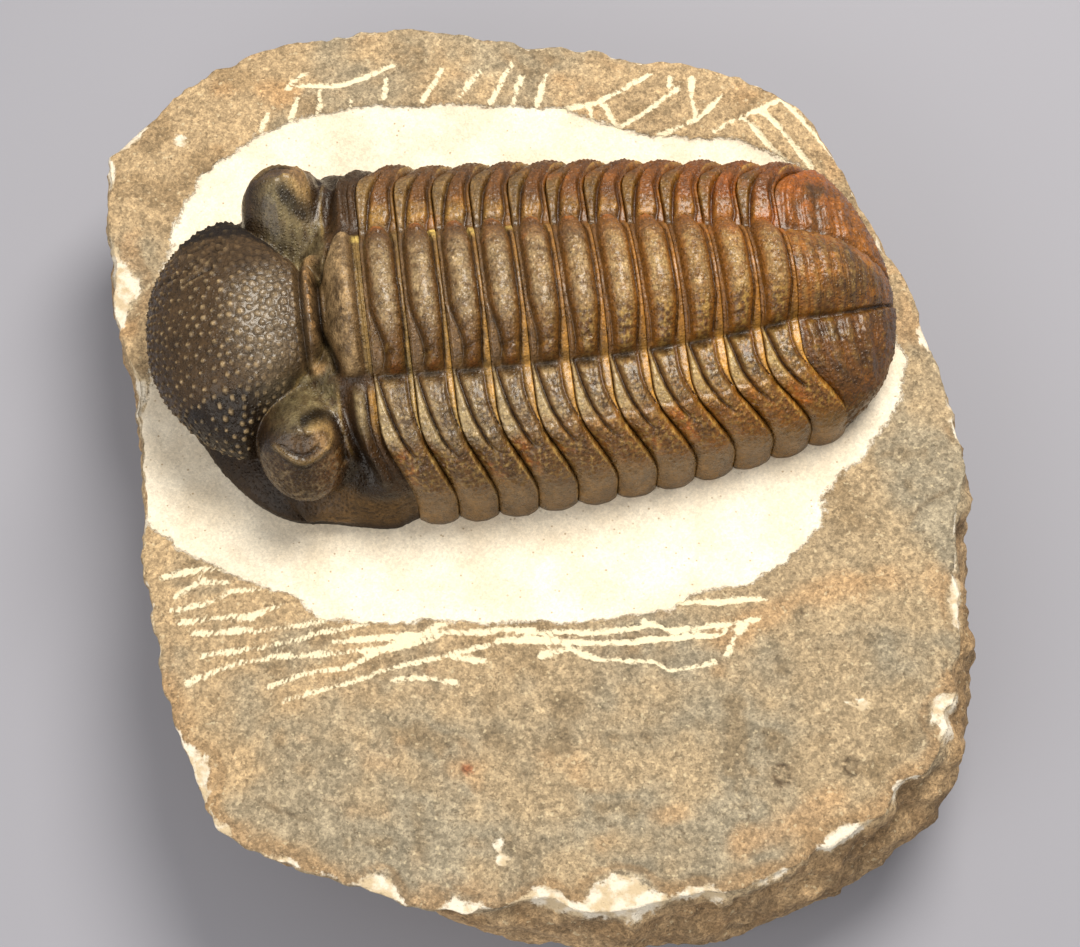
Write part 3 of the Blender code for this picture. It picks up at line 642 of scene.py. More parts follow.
def head_form(along, across):
    """The head without its detail: rays from an inner line, and how far out along each the surface lies.

    Also where each point lies on the glabella, from the rear edge, and on the eye.
    """
    width = FRONT_HALF_WIDTH - TIP_ROUNDING * ramp(0.9, 1, along)
    arch_y, arch_z = arch(across, FRONT_AXIAL_HALF_WIDTH, width, FURROW_HEIGHT, AXIAL_RISE)
    tilt = np.arctan2(arch_y, arch_z - RIM_HEIGHT)
    fan = (1 - np.clip(along / FAN_SHARE, 0, 1)) * math.pi / 2
    back = np.clip((along - FAN_SHARE) / (1 - FAN_SHARE), 0, 1)
    rear_edge = sweep(across, 0) - SEAM / 2
    x0 = FAN_CENTRE + (rear_edge - FAN_CENTRE) * back
    from_rear = x0 - rear_edge
    origin = np.stack([x0, 0 * x0, 0 * x0 + RIM_HEIGHT], axis=-1)
    direction = np.stack([-np.sin(fan) * np.cos(tilt), np.sin(tilt), np.cos(fan) * np.cos(tilt)], axis=-1)
    cheek = cheek_distance(origin, direction)
    cheek = cheek * (1 - 0.05 * hump(fan, 0.75, 0.6) * ramp(0.6, 1.1, -tilt))
    thorax_like = np.hypot(arch_y, arch_z - RIM_HEIGHT)
    cheek = mix(cheek, thorax_like, ramp(0.3, 0.85, back))
    glabella = distance_to_ellipsoid(origin, direction, GLABELLA_CENTRE, GLABELLA_RADII)
    glabella = -smooth_max(-glabella, -distance_to_furrow(origin, direction), 3)
    neck = distance_to_ellipsoid(origin, direction, NECK_CENTRE, NECK_RADII)
    dome = smooth_max(glabella, neck, 2)
    base = origin + direction * cheek[..., None]
    turret, forward, down, away = eye_relief(base[..., 0], np.abs(tilt), cheek, across > 0)
    cheek += turret
    filled = ramp(0.45, 0.65, across) * hump(base[..., 0], -5.5, 6) * fall(0.85, 1, back)
    filled = filled * ramp(0.55, 1.05, away)
    cheek = cheek + 2.2 * filled + far_lift(0, across) * ramp(0.6, 1, back)
    distance = smooth_max(cheek, dome, 0.8)
    distance = distance - 1.1 * np.exp(-(((dome - cheek) / 1.5) ** 2)) * fall(0.6, 0.9, back)
    distance = distance * (1 - 0.055 * ramp(0.6, 1.2, fan) * hump(tilt, -0.75, 0.65))
    on_dome = ramp(0, 2.5, dome - cheek)
    return origin, direction, soften(distance, 12), on_dome, from_rear, (forward, down, away)


def tubercles(bare, allowed):
    """Scatters tubercles: how high on one each point is, how far from the nearest, and that one's radius."""
    knobs = scatter(bare, allowed.reshape(-1), 1.25 + 0.2 * noise(bare, 8, 3), 11)
    far_off, which = nearest_distance(bare, bare.reshape(-1, 3)[knobs])
    size = (0.33 + 0.25 * np.random.default_rng(12).random(len(knobs)) ** 2)[which]
    size = size * (0.78 + 0.4 * ramp(-32, -18, bare[..., 0]))
    return np.clip(1 - (far_off / size) ** 2, 0, 1), far_off, size


def lens_rows(forward, down, away):
    """Rows of lenses under the lobe: the distance to a lens's middle, and where there are lenses at all."""
    row = down * EYE_HALF_TILT * EYE_REACH / (LENS_PITCH * 0.866)
    column = forward * EYE_HALF_LENGTH / LENS_PITCH + 0.5 * (np.round(row) % 2)
    lens = np.hypot(row - np.round(row), column - np.round(column))
    ridge_level = np.interp(forward, *np.array(LENS_TOP).T)
    return lens, ramp(0.1, 0.18, down - ridge_level) * fall(0.84, 0.96, away)


def make_head(material):
    along, across = plate_grid(HEAD_ROWS, HEAD_COLUMNS)
    origin, direction, distance, on_dome, from_rear, (forward, down, away) = head_form(along, across)
    off_dome = 1 - on_dome
    bare = origin + direction * distance[..., None]
    x, y, z = bare[..., 0], bare[..., 1], bare[..., 2]

    # borders, the occipital ring and the low ring in front of it
    border = 0.9 * hump(z, 2.8, 2.6) - 0.8 * hump(z, 6.6, 2.2)
    relief = border * off_dome * fall(-9, -3, x)
    on_cheek = ramp(AXIAL_SHARE, AXIAL_SHARE + 0.05, np.abs(across))
    rear_border = hump(from_rear, -2.4, 1.2) + 0.4 * band(from_rear, -1.1, 0, 0.2)
    rear_border -= 1.2 * hump(from_rear, -4.3, 1.6)
    reaching = fall(0.45, 0.75, pleural_share(across))
    relief += rear_border * on_cheek * reaching * (1 - 0.6 * ramp(0.5, 0.6, across))
    on_axis = fall(AXIAL_SHARE - 0.03, AXIAL_SHARE, np.abs(across))
    share = axial_share(across)
    ring_front = RING_FRONT + np.where(across > 0, 2.6, 1.9) * ramp(0.35, 0.95, share)
    place = np.clip((from_rear - ring_front + 0.2) / (-1.1 - ring_front + 0.2), 0, 1)
    ring = 2.1 * (1 - (2 * place - 1) ** 2) ** 0.7 * (1 - 0.5 * ramp(0.7, 1, share))
    low_ring = (L1_FRONT + RING_FRONT) / 2
    ring += 1.2 * hump(from_rear, low_ring - 0.1, 1.5) * fall(0.55, 0.85, share)
    ring += 0.35 * hump(from_rear, -0.3, 0.3)
    furrows = 1.4 * hump(from_rear, ring_front - 0.5, 1) + 1.1 * hump(from_rear, L1_FRONT, 0.9)
    relief += (ring - furrows) * on_axis
    from_node = np.hypot(x + 7.9, np.abs(y) - 8.6)
    relief += 1.3 * hump(from_node, 0, 2)

    # tubercles, worn flat on top towards the rear
    knobbly = (on_dome > 0.9) & (from_rear < L1_FRONT - 0.6) & (z > 3.5)
    lump_row = (np.abs(from_rear - low_ring) < 0.5) & (np.abs(y) < 4.5) & (z > 10)
    knob, far_off, size = tubercles(bare, knobbly | lump_row)
    worn = ramp(-22, -14, x) * ramp(14, 20, z)
    fading = ramp(2.5, 8, z)
    knob_height = (0.36 * np.minimum(knob, mix(1, 0.55, worn)) - 0.14 * worn * (knob > 0.8)) * fading
    knob_height -= 0.08 * hump(far_off, 1.45 * size, 0.4 * size) * worn * knobbly
    grains = fall(0.1, 0.5, cells(bare, 0.55, 19))
    on_ring = on_axis * ramp(ring_front + 0.2, ring_front + 1, from_rear)
    relief += knob_height + (0.08 * knobbly * fall(0, 0.3, knob) + 0.12 * on_ring) * grains

    # eyes, and the hollow behind each
    lobe, from_ridge, from_crease, lobe_end, hollow = lobe_relief(forward, down)
    on_eye = off_dome * fall(0.95, 1.1, away)
    relief += lobe * off_dome
    lens, lensed = lens_rows(forward, down, away)
    lensed = lensed * off_dome
    relief += 0.11 * fall(0.15, 0.52, lens) * lensed
    valley = hump(np.hypot((x + 3.4) / 1.3, np.abs(y) - 24.5), 0, 3.6) * off_dome
    relief -= 1.1 * valley

    # wrinkles of the flank, the old injury and fine grain
    wrinkles = np.abs(np.sin((z + 0.12 * x + 0.7 * noise(bare, 2.6, 70)) * 3.4))
    wrinkled = off_dome * band(z, 1.6, 8.5, 1.2) * ramp(-14, -8, x)
    scar_line = distance_to_lines(x + 0.8 * noise(bare, 2.2, 75), y + 0.8 * noise(bare, 2.2, 76), SCARS)
    scar = hump(scar_line, 0, 0.55) * (on_dome > 0.5)
    relief -= 0.16 * fall(0, 0.45, wrinkles) * wrinkled
    relief = relief - 0.4 * scar + 0.15 * hump(scar_line, 0.8, 0.5) * (on_dome > 0.5)
    lumps = fall(0.1, 0.5, cells(bare, 0.8, 20))
    relief += off_dome * lumps * (0.1 + 0.1 * hump(lobe_end, 0, 0.6)) * (1 - 0.7 * lensed)
    relief = relief + 0.2 * layered_noise(bare, 3.2, 71) + 0.05 * noise(bare, 0.5, 72)
    relief = relief * fall(-0.6, 0, from_rear)
    points = origin + direction * (distance + relief)[..., None]
    points[..., 2] = np.maximum(points[..., 2], LOWEST)

    # colours
    mottle, fine = layered_noise(bare, 4, 73), layered_noise(bare, 0.8, 74, 2)
    patchy, speckled = 0.8 + 0.6 * mottle, 0.8 + 0.6 * fine
    # painted sheen: a grey patch on the glabella, facing the key light, where the coat is also glossiest
    sheen_patch = on_dome * fall(0.35, 1.1, np.hypot((x + 12.5) / 9.5, (y + 3) / 14) + 0.15 * mottle)
    dark_patch = on_dome * fall(5.5, 10, np.hypot((x + 18.5) / 1.25, y - 12.5) + 1.5 * mottle)
    brown = ramp(-13.5, -8, x + 2 * mottle)
    fixed_cheek = off_dome * fall(-0.7, -0.55, down) * fall(-6, -4.6, from_rear)
    cheek_edge = fixed_cheek * hump(on_dome, 0.12, 0.1) + hump(from_rear, -5.4, 0.4) * on_cheek * (down < 0.2)
    genal = off_dome * hump(np.hypot((x + 0.5) / 1.4, np.abs(y) - 21.5), 0, 4)
    shelf = off_dome * fall(7, 9.5, z)
    beside = off_dome * ramp(0.42, 0.55, np.abs(across)) * ramp(-8, -4, x)
    by_furrow = on_cheek * fall(0.12, 0.34, pleural_share(across)) * (across < 0)
    behind_eye = off_dome * ramp(-6.5, -3, x) * fall(-3.2, -2, from_rear)
    second_ring = on_axis * band(from_rear, L1_FRONT + 0.6, RING_FRONT - 0.7, 0.3) * fall(0.5, 0.8, share)
    ring_top = on_axis * band(from_rear, ring_front + 0.6, -1.6, 0.5)
    tip = ramp(0.4, 0.85, knob) * knobbly * fading * (1 - 0.7 * worn) * (1 - 0.85 * dark_patch)
    rear_strip = band(from_rear, -0.95, 0.1, 0.2)
    tint = paint(
        HEAD_BLACK + 0 * points,
        (HEAD_SHEEN_GREY, 0.85 * sheen_patch * patchy),
        (DEEP * 0.6, 0.95 * dark_patch),
        (HEAD_BROWN, 0.75 * brown),
        (HEAD_BROWN, 0.45 * off_dome * patchy),
        (CHEEK_GREY, 0.8 * fixed_cheek * ramp(-17, -11, x) * (0.7 + 0.8 * fine)),
        (PALE_TAN, 0.4 * np.clip(cheek_edge, 0, 1)),
        (DEEP, 0.6 * hump(on_dome, 0.55, 0.4) * (1 - brown)),
        (mix(HEAD_BROWN, AMBER, (0.55 * ramp(0.1, 0.7, forward))[..., None]), 0.7 * lensed),
        (DEEP, 0.4 * lensed * ramp(0.3, 0.55, lens)),
        (PATINA_AND_SHEEN, 0.3 * lensed * ramp(0.4, 0.7, cells(bare, 0.7, 39)) * (0.7 + fine)),
        (PLUM, 0.6 * on_eye * hollow),
        (BRONZE, 0.8 * on_eye * hump(lobe_end, 0, 0.42) * speckled),
        # painted highlight along the ridge of the palpebral lobe
        (PALE_TAN, 0.2 * on_eye * hump(from_ridge, 0, 0.09)),
        (DEEP, np.where(across > 0, 0.5, 0.85) * off_dome * hump(from_crease, 0, 0.1)),
        (DEEP, 0.85 * off_dome * hump(away, 1.08, 0.14) * (down > -0.3)),
        (DEEP, 0.85 * ramp(0.1, 0.6, valley)),
        (UMBER, 0.5 * genal),
        (DEEP, 0.45 * shelf * fall(-12, -6, x)),
        (DEEP, 0.5 * beside * (0.9 + 0.5 * mottle)),
        (BAND_GREY, 0.75 * by_furrow * band(from_rear, -3.1, -1.6, 0.3) * speckled),
        (HONEY * 0.8, 0.7 * by_furrow * rear_strip * speckled),
        (DEEP, 0.7 * by_furrow * hump(from_rear, -1.25, 0.3)),
        (DEEP, 0.6 * behind_eye * ramp(0.45, 0.6, np.abs(across))),
        (FACET, 0.5 * wrinkled),
        (DEEP, 0.7 * fall(0, 0.4, wrinkles) * wrinkled),
        (BRONZE, 0.35 * second_ring * (0.6 + 1.6 * fine)),
        (mix(PALE_TAN, PLUM, 0.5), 0.7 * on_axis * rear_strip),
        (INFILL, 0.8 * on_axis * band(from_rear, -1.2, 0.1, 0.2) * ramp(0.7, 0.85, share) * (across > 0)),
        # painted sheen: lighter grey-amber on the crown of the occipital ring
        (mix(AMBER, PATINA_AND_SHEEN, 0.7), 0.9 * ring_top * (0.8 + 0.8 * fine + 0.4 * mottle)),
        # painted shade: both flanks of the occipital ring darkened in plum
        (PLUM, 0.7 * on_axis * (hump(place, 0.1, 0.2) + hump(place, 0.95, 0.2)) * (from_rear < -1)),
        (mix(AMBER, PATINA_AND_SHEEN, 0.4), 0.8 * lump_row * (knob > 0.2)),
        (BRONZE, 0.7 * hump(from_node, 0, 1.8)),
        # tubercle tips paler, more so within the painted sheen
        (KNOB_TIP * (0.85 + 0.25 * sheen_patch + 0.4 * fine)[..., None], 0.75 * tip),
        (DEEP, 0.5 * knobbly * worn * hump(far_off, 1.2 * size, 0.35 * size)),
        (DEEP, 0.6 * on_axis * hump(from_rear, ring_front - 0.4, 0.7)),
        (mix(HEAD_BROWN, PATINA_AND_SHEEN, 0.5), 0.5 * hump(scar_line, 0.8, 0.5) * on_dome * ramp(0, 0.5, fine)),
    )
    # painted shade and light: the tint is darkened in hollows of the relief and lightened on its ridges
    relief_shade = np.clip(relief - soften(relief, 24), -0.35, 0.35)
    tint = tint * (0.88 + 1.2 * relief_shade + 0.2 * mottle + 0.2 * fine)[..., None] * HEAD_CAST
    matte = np.clip(0.9 * dark_patch + 0.4 * behind_eye + 0.6 * shelf, 0, 1)
    gloss = 0.02 + (0.3 * sheen_patch + 0.2 * on_eye) * (1 - matte)
    mesh = plate_mesh("head_shield", points, {"tint": tint, "matte": matte, "gloss": gloss})
    weld(mesh)
    finish_piece("head_shield", mesh, material, "cephalon")


# ---------------------------------------------------------------- tail
TAIL_RINGS, TAIL_RIBS, MARGIN_POWER = 9, 6, 1.4


def narrow_axis(along, across):
    """Shifts the lines along the tail so that its axial lobe narrows backward."""
    share = AXIAL_SHARE * (1 - 0.5 * ramp(0, 0.9, along))
    reach = np.abs(across)
    lobe = reach * AXIAL_SHARE / share
    field = AXIAL_SHARE + (reach - share) * (1 - AXIAL_SHARE) / (1 - share)
    return np.where(reach < share, lobe, field) * np.sign(across)


def make_tail(material):
    along, spread = plate_grid(TAIL_ROWS, TAIL_COLUMNS)
    across = narrow_axis(along, spread)
    turn = along * math.pi / 2
    rise = AXIAL_RISE * (1 - 0.6 * along)
    full_width = half_width(1, across)
    width = full_width - TIP_ROUNDING * (1 - along) ** 3
    y, z = arch(across, axial_half_width(1, across), width, furrow_height(1), rise)
    z = z + far_lift(1, across) * (1 - along)
    y = y * (np.abs(spread) + 0.15) / (np.abs(across) + 0.15)
    front = THORAX_LENGTH + SEAM / 2 + sweep(across, 1)
    tip = THORAX_LENGTH + SEAM / 2 + sweep(across / np.maximum(np.abs(across), 1e-6), 1)
    bearing = np.abs(spread) ** 1.7 * math.pi / 2
    margin_x = tip + (THORAX_LENGTH + PYGIDIUM_LENGTH - tip) * np.abs(np.cos(bearing)) ** MARGIN_POWER
    margin_y = full_width * np.sin(bearing) ** MARGIN_POWER * np.sign(spread) + 1.6 * (1 - np.abs(spread))
    x = front + (margin_x - front) * np.sin(turn)
    y = y + (margin_y - y) * (1 - np.cos(turn))
    z = RIM_HEIGHT + (z - RIM_HEIGHT) * np.cos(turn) ** 0.85
    x = x - 2.4 * ramp(0.6, 1, -spread)
    bare = np.stack([x, y, z], axis=-1)
    outward = np.stack([x - THORAX_LENGTH, 0.6 * y, z - 4], axis=-1)
    outward[..., 0] *= ramp(0, 0.15, along)
    outward /= np.linalg.norm(outward, axis=-1, keepdims=True)

    out = pleural_share(across)
    phase = np.sin(turn) * TAIL_RINGS
    wobble = 0.12 * noise(bare, 3, 79)
    ring = (0.5 - 0.5 * np.cos(2 * math.pi * (phase + wobble))) ** 0.8 * fall(0.55, 0.95, along)
    ring = ring * (1 - 0.35 * ramp(0.1, 0.5, along))
    rib_phase = np.sin(turn) * TAIL_RIBS - 0.9 * out
    rib = (0.5 - 0.5 * np.cos(2 * math.pi * (rib_phase + wobble))) ** 0.7
    groove = 0.45 * hump((rib_phase + wobble) % 1, 0.3, 0.12)
    fade = fall(0.3, 0.62, out) * fall(0.4, 0.8, along)
    rib = (rib - groove) * fade
    flank = 0.5 * (1 - fade) * ramp(0, 0.2, along) * fall(0.7, 1, along)
    on_pleura = ramp(AXIAL_SHARE - 0.004, AXIAL_SHARE + 0.014, np.abs(across))
    relief = mix(0.26 * ring, 0.5 * rib + flank, on_pleura)
    relief -= 0.45 * hump(np.abs(across), AXIAL_SHARE, 0.018) * fall(0.75, 0.95, along)
    grains = fall(0.12, 0.48, cells(bare, 0.6, 7))
    coarse = fall(0.1, 0.5, cells(bare, 1.1, 8))
    relief = relief + 0.1 * grains + 0.16 * coarse * ramp(0.1, 0.5, np.abs(across))
    relief = relief + 0.2 * layered_noise(bare, 2.6, 80) + 0.05 * noise(bare, 0.5, 81)
    relief = relief * ramp(0, 0.05, along)
    points = bare + outward * relief[..., None]
    points[..., 2] = np.maximum(points[..., 2], LOWEST)

    mottle, fine = layered_noise(bare, 3, 82), layered_noise(bare, 0.7, 83, 2)
    far = ramp(-0.1, 0.4, across)
    tint = UMBER + (AMBER - UMBER) * ramp(-0.5, 0.7, mottle + 0.3 * far)[..., None]
    rusty = ramp(0.3, 0.5, across) * fall(0.15, 0.5, along) * ramp(-0.5, 0.3, mottle)
    near_ribs = (1 - far) * on_pleura * fall(0.25, 0.5, out)
    pale = near_ribs * ramp(0.45, 0.8, rib) * fall(0.25, 0.6, along)
    near_furrow = hump(across, -AXIAL_SHARE, 0.018) * ramp(0.05, 0.3, along)
    # painted shade and light: the tint is darkened in hollows of the relief and lightened on its ridges
    relief_shade = np.clip(relief - soften(relief, 20), -0.35, 0.35)
    tint = paint(
        tint,
        (RUST, 0.65 * rusty),
        # painted sheen: grey on the tops of the tail's axial rings
        (PATINA_AND_SHEEN, 0.3 * (1 - on_pleura) * ramp(0.35, 0.8, ring) * (0.6 + 1.2 * fine)),
        (HONEY, 0.25 * (1 - on_pleura) * hump(ring, 0.1, 0.12) * fall(0.5, 0.8, along)),
        (BAND_GREY, 0.35 * pale * (0.7 + 0.9 * fine)),
        (DARK_BROWN_AND_SHADE, 0.5 * near_ribs * fall(-0.3, 0.1, rib) * fade),
        (DARK_BROWN_AND_SHADE, 0.45 * (1 - far) * on_pleura * (0.8 + 0.6 * mottle)),
        (DARK_BROWN_AND_SHADE, 0.5 * near_furrow + 0.35 * hump(across, AXIAL_SHARE, 0.02)),
        (PALE_TAN, 0.6 * ramp(0.45, 0.7, cells(bare, 0.8, 21)) * fine * (1 - far) * on_pleura),
        (DARK_BROWN_AND_SHADE, 0.35 * ramp(0.5, 0.9, along)),
        (DARK_BROWN_AND_SHADE, 0.5 * ramp(0.52, 0.75, cells(bare, 0.45, 17))),
    )
    tint = tint * (0.86 + 0.8 * relief_shade + 0.18 * mottle + 0.25 * fine)[..., None] * BODY_CAST * TAIL_CAST
    mesh = plate_mesh("tail_shield", points, {"tint": tint})
    weld(mesh)
    finish_piece("tail_shield", mesh, material, "pygidium")


# ---------------------------------------------------------------- slab
SLAB_OUTLINE = [
    (67, 6), (65, 12), (62, 24), (58, 33), (53, 44), (47, 56), (42, 62), (35, 67), (19, 70),
    (-1, 73), (-12, 75), (-20, 76), (-34, 74), (-47, 70), (-54, 66), (-61, 59), (-68, 52),
    (-67, 43), (-66, 34), (-65, 24), (-61, 12), (-59, 2), (-57, -11), (-54, -28), (-50, -42),
    (-47, -50), (-43, -58), (-36.5, -62), (-29, -64.5), (-22, -66.5), (-12, -69.8), (-6, -71),
    (5, -71.5), (16, -71.5), (27, -70.5), (41, -66), (51, -60), (59, -54), (64, -45), (66, -29),
    (66, -15), (68, -3),
]  # fmt: skip
BASE_INSET = 5
OVERHANG_BEARINGS, OVERHANG_SLOPE, OVERHANG_RIM = (-2.8, -2.5, -1.75, -1.55), 0.25, 0.8
SIDE_RINGS = ((0.3, 28), (0, 23.5), (0.2, 17.5), (0.8, 12), (1.8, 6), (3.4, 1.8), (BASE_INSET, 0))
BOTTOM_RIGHT = math.radians(-50)
EDGE_INSET, EDGE_HEIGHT = 0.6, 28.8
CORNER_LOSS, SCALLOP_DEPTH = 3.4, 1.6
TOP_RINGS, SIDE_STEPS, BASE_RINGS = 112, 44, 4
HIDDEN_RINGS, HIDDEN_SHARE = 5, 0.3  # the innermost rings lie under the fossil

# The edge of the floor that was ground out round the fossil.
HALO = [
    (-59.5, 32), (-56, 40), (-52, 47.5), (-44, 55), (-36, 58.5), (-26, 60.5), (-8, 61.3), (6, 61.3),
    (11, 58.4), (20, 55.8), (34, 55), (41, 51.5), (49, 46), (53, 42), (57.4, 27), (61.7, 15.6),
    (59, 8), (53, -2.5), (49, -5), (44.5, -12), (40, -15), (38.5, -18), (33, -21), (24, -23),
    (21, -25.3), (13, -27), (-9, -27.6), (-24, -27.6), (-30, -26.5), (-35, -23), (-41.5, -21.5),
    (-46.5, -18), (-52, -16), (-57, -12), (-60, -2), (-61.5, 6), (-60, 18),
]  # fmt: skip
# Strokes of the scribe that cleared the stone round the fossil.
STROKES = [
    [(-54, -20.5), (-49, -19.5), (-44, -19)],
    [(-51.5, -23.5), (-48, -21.5), (-44, -21.5)],
    [(-52, -25.5), (-47, -25), (-43.5, -23), (-39, -22.5)],
    [(-50.5, -27.5), (-45.5, -27), (-40.5, -27), (-36, -25)],
    [(-49, -29.5), (-39, -29), (-32, -28), (-29.5, -27.5)],
    [(-47, -33), (-38.5, -31.5), (-32, -30), (-23.5, -27.5)],
    [(-48.5, -37), (-41.5, -34), (-36.5, -33), (-21.5, -32), (-15, -29.5), (-12, -28)],
    [(-37, -37.5), (-32, -35.5), (-25.5, -34.5), (-21.5, -32.5), (-13, -30)],
    [(-34.5, -39.5), (-27.5, -37.5), (-21.5, -35.5), (-13, -33), (-4, -30.5), (4.5, -30)],
    [(-19, -36.5), (-10, -36.5)],
    [(-10.5, -33), (-6, -33.5)],
    [(2, -32.5), (6.5, -31.5), (10.5, -33), (18.5, -33.5), (21, -35), (27.5, -33.5)],
    [(2, -30.5), (15, -30.5), (28, -29.5), (32, -28)],
    [(-28, -30.5), (-18, -29.8), (-4, -28.8), (10, -28.9), (18, -28)],
    [(32, -28), (29, -32.5)],
    [(17, -27.5), (21.5, -29), (31.5, -27.5), (34, -27)],
    [(21, -24), (28, -24.5), (35, -24)],
    [(-37.5, 64), (-31.5, 64), (-26.5, 66), (-22, 68.5)],
    [(-39, 63.5), (-38.5, 65), (-36, 66.5)],
    [(-43, 55.5), (-42, 59)],
    [(-38.5, 58), (-37.5, 61.5)],
    [(-34, 59), (-33.5, 63)],
    [(-29, 59.5), (-28.5, 62)],
    [(-23.5, 62), (-23, 66)],
    [(-17, 61.5), (-14, 67.5)],
    [(-11, 62.5), (-7.5, 67.5)],
    [(-6, 61.5), (-2.5, 69)],
    [(-2.5, 61.5), (-1, 67)],
    [(1.5, 61.5), (3, 67)],
    [(5.5, 60.5), (10.5, 61.5), (16.5, 65), (20, 67)],
    [(10, 61), (10.5, 58)],
    [(12.5, 61.5), (14.5, 57)],
    [(14.5, 57), (19, 60), (24.5, 64)],
    [(23, 64.5), (23.5, 66)],
    [(26.5, 66), (27, 59.5)],
    [(21.5, 56), (27.5, 59), (32, 63)],
    [(30, 56.5), (36, 59.5), (41, 61.5)],
    [(35, 58.5), (38.5, 54), (41.5, 51)],
    [(37.5, 60), (41, 56), (45.5, 49.5)],
    [(41.5, 61.5), (45.5, 56), (49.5, 51)],
]
# Places along the rim where the stone was bruised white: centre, radius and strength.
CHIPS = [
    (-65, 28, 12, 1), (-60, 10, 7, 0.8), (-58, -12, 5, 0.6), (-53, -33, 5, 0.5), (-46, -50, 7, 1),
    (-43, -58, 3, 0.9), (-34, -62, 4, 0.6), (-20, -66.5, 5, 1), (-9, -69.5, 5, 1), (3, -69.5, 6, 1.1),
    (13, -68.5, 9, 1.3), (24, -68, 5, 0.9), (34, -65, 4, 0.6), (45, -61, 7, 1.1), (54, -53, 4, 0.7),
    (60, -42, 6, 1.1), (65, -25, 7, 1.1), (66, -12, 4, 0.8), (66, 4, 4, 0.7), (-28, 74, 5, 0.5),
    (12, 70, 7, 0.4), (-64, 56, 5, 0.6), (-68, 48, 4, 0.9), (56, 38, 4, 0.4), (62, 20, 4, 0.8),
]  # fmt: skip
SPOTS = [(-3.5, -60.2, 1.2), (-3.2, -62.6, 1.3), (48, -40.4, 1.2), (46.2, -40.2, 0.8), (-56, 54, 1.4)]
RINGED_SPOTS = [(36.2, -50.4, 1.1), (45.9, -49.4, 0.9)]
STEPS = [[(29.5, -33), (33.6, -27.3), (36.4, -22.6), (38.4, -18), (40.8, -15.3)]]
CRACKS = [[(-38, -54), (-34, -55.8), (-30, -57)], [(57, -11.6), (60, -8), (64, -6)]]
STREAKS = [[(30, -60.5), (37, -58), (43, -54)], [(29, -30), (40, -24), (48, -21)]]


def slab_reach(angle):
    corners = np.array(SLAB_OUTLINE, float) - np.array(BED_CENTRE)
    bearing = np.arctan2(corners[:, 1], corners[:, 0])
    order = np.argsort(bearing)
    return np.interp(angle, bearing[order], np.hypot(*corners[order].T), period=2 * math.pi)


def even_spokes(count):
    """Angles whose spokes meet the outline at even steps along it."""
    angle = np.linspace(-math.pi, math.pi, 7201)
    edge = slab_reach(angle)[:, None] * np.stack([np.cos(angle), np.sin(angle)], axis=-1)
    walked = np.concatenate([[0], np.cumsum(np.hypot(*np.diff(edge, axis=0).T))])
    return np.interp(np.arange(count) / count * walked[-1], walked, angle)


def top_height(x, y):
    swell = 0.7 * np.sin(0.075 * x + 0.8) * np.cos(0.06 * y - 0.5) + 0.35 * np.sin(0.19 * x - 0.13 * y)
    away = np.hypot((x - BED_CENTRE[0]) / BED_RADII[0], (y - BED_CENTRE[1]) / BED_RADII[1])
    outside = (away - 1) * BED_RADII[1]
    climb = ramp(0, BED_SLOPE_WIDTH, outside)
    return BED_HEIGHT + (SLAB_TOP - BED_HEIGHT + swell) * climb


def distance_to_lines(x, y, lines):
    """Distance in plan to the nearest of several broken lines."""
    best = np.full(x.shape, 1e3)
    for line in lines:
        for (x0, y0), (x1, y1) in zip(line[:-1], line[1:]):
            run, rise = x1 - x0, y1 - y0
            share = np.clip(((x - x0) * run + (y - y0) * rise) / (run * run + rise * rise), 0, 1)
            best = np.minimum(best, np.hypot(x - x0 - share * run, y - y0 - share * rise))
    return best


def inside_outline(x, y, outline):
    """1 inside a closed outline and 0 outside, by counting crossings."""
    odd = np.zeros(x.shape, bool)
    for (x0, y0), (x1, y1) in zip(outline, outline[1:] + outline[:1]):
        crosses = (y0 > y) != (y1 > y)
        level = x0 + (y - y0) * (x1 - x0) / ((y1 - y0) or 1e-9)
        odd ^= crosses & (x < level)
    return odd


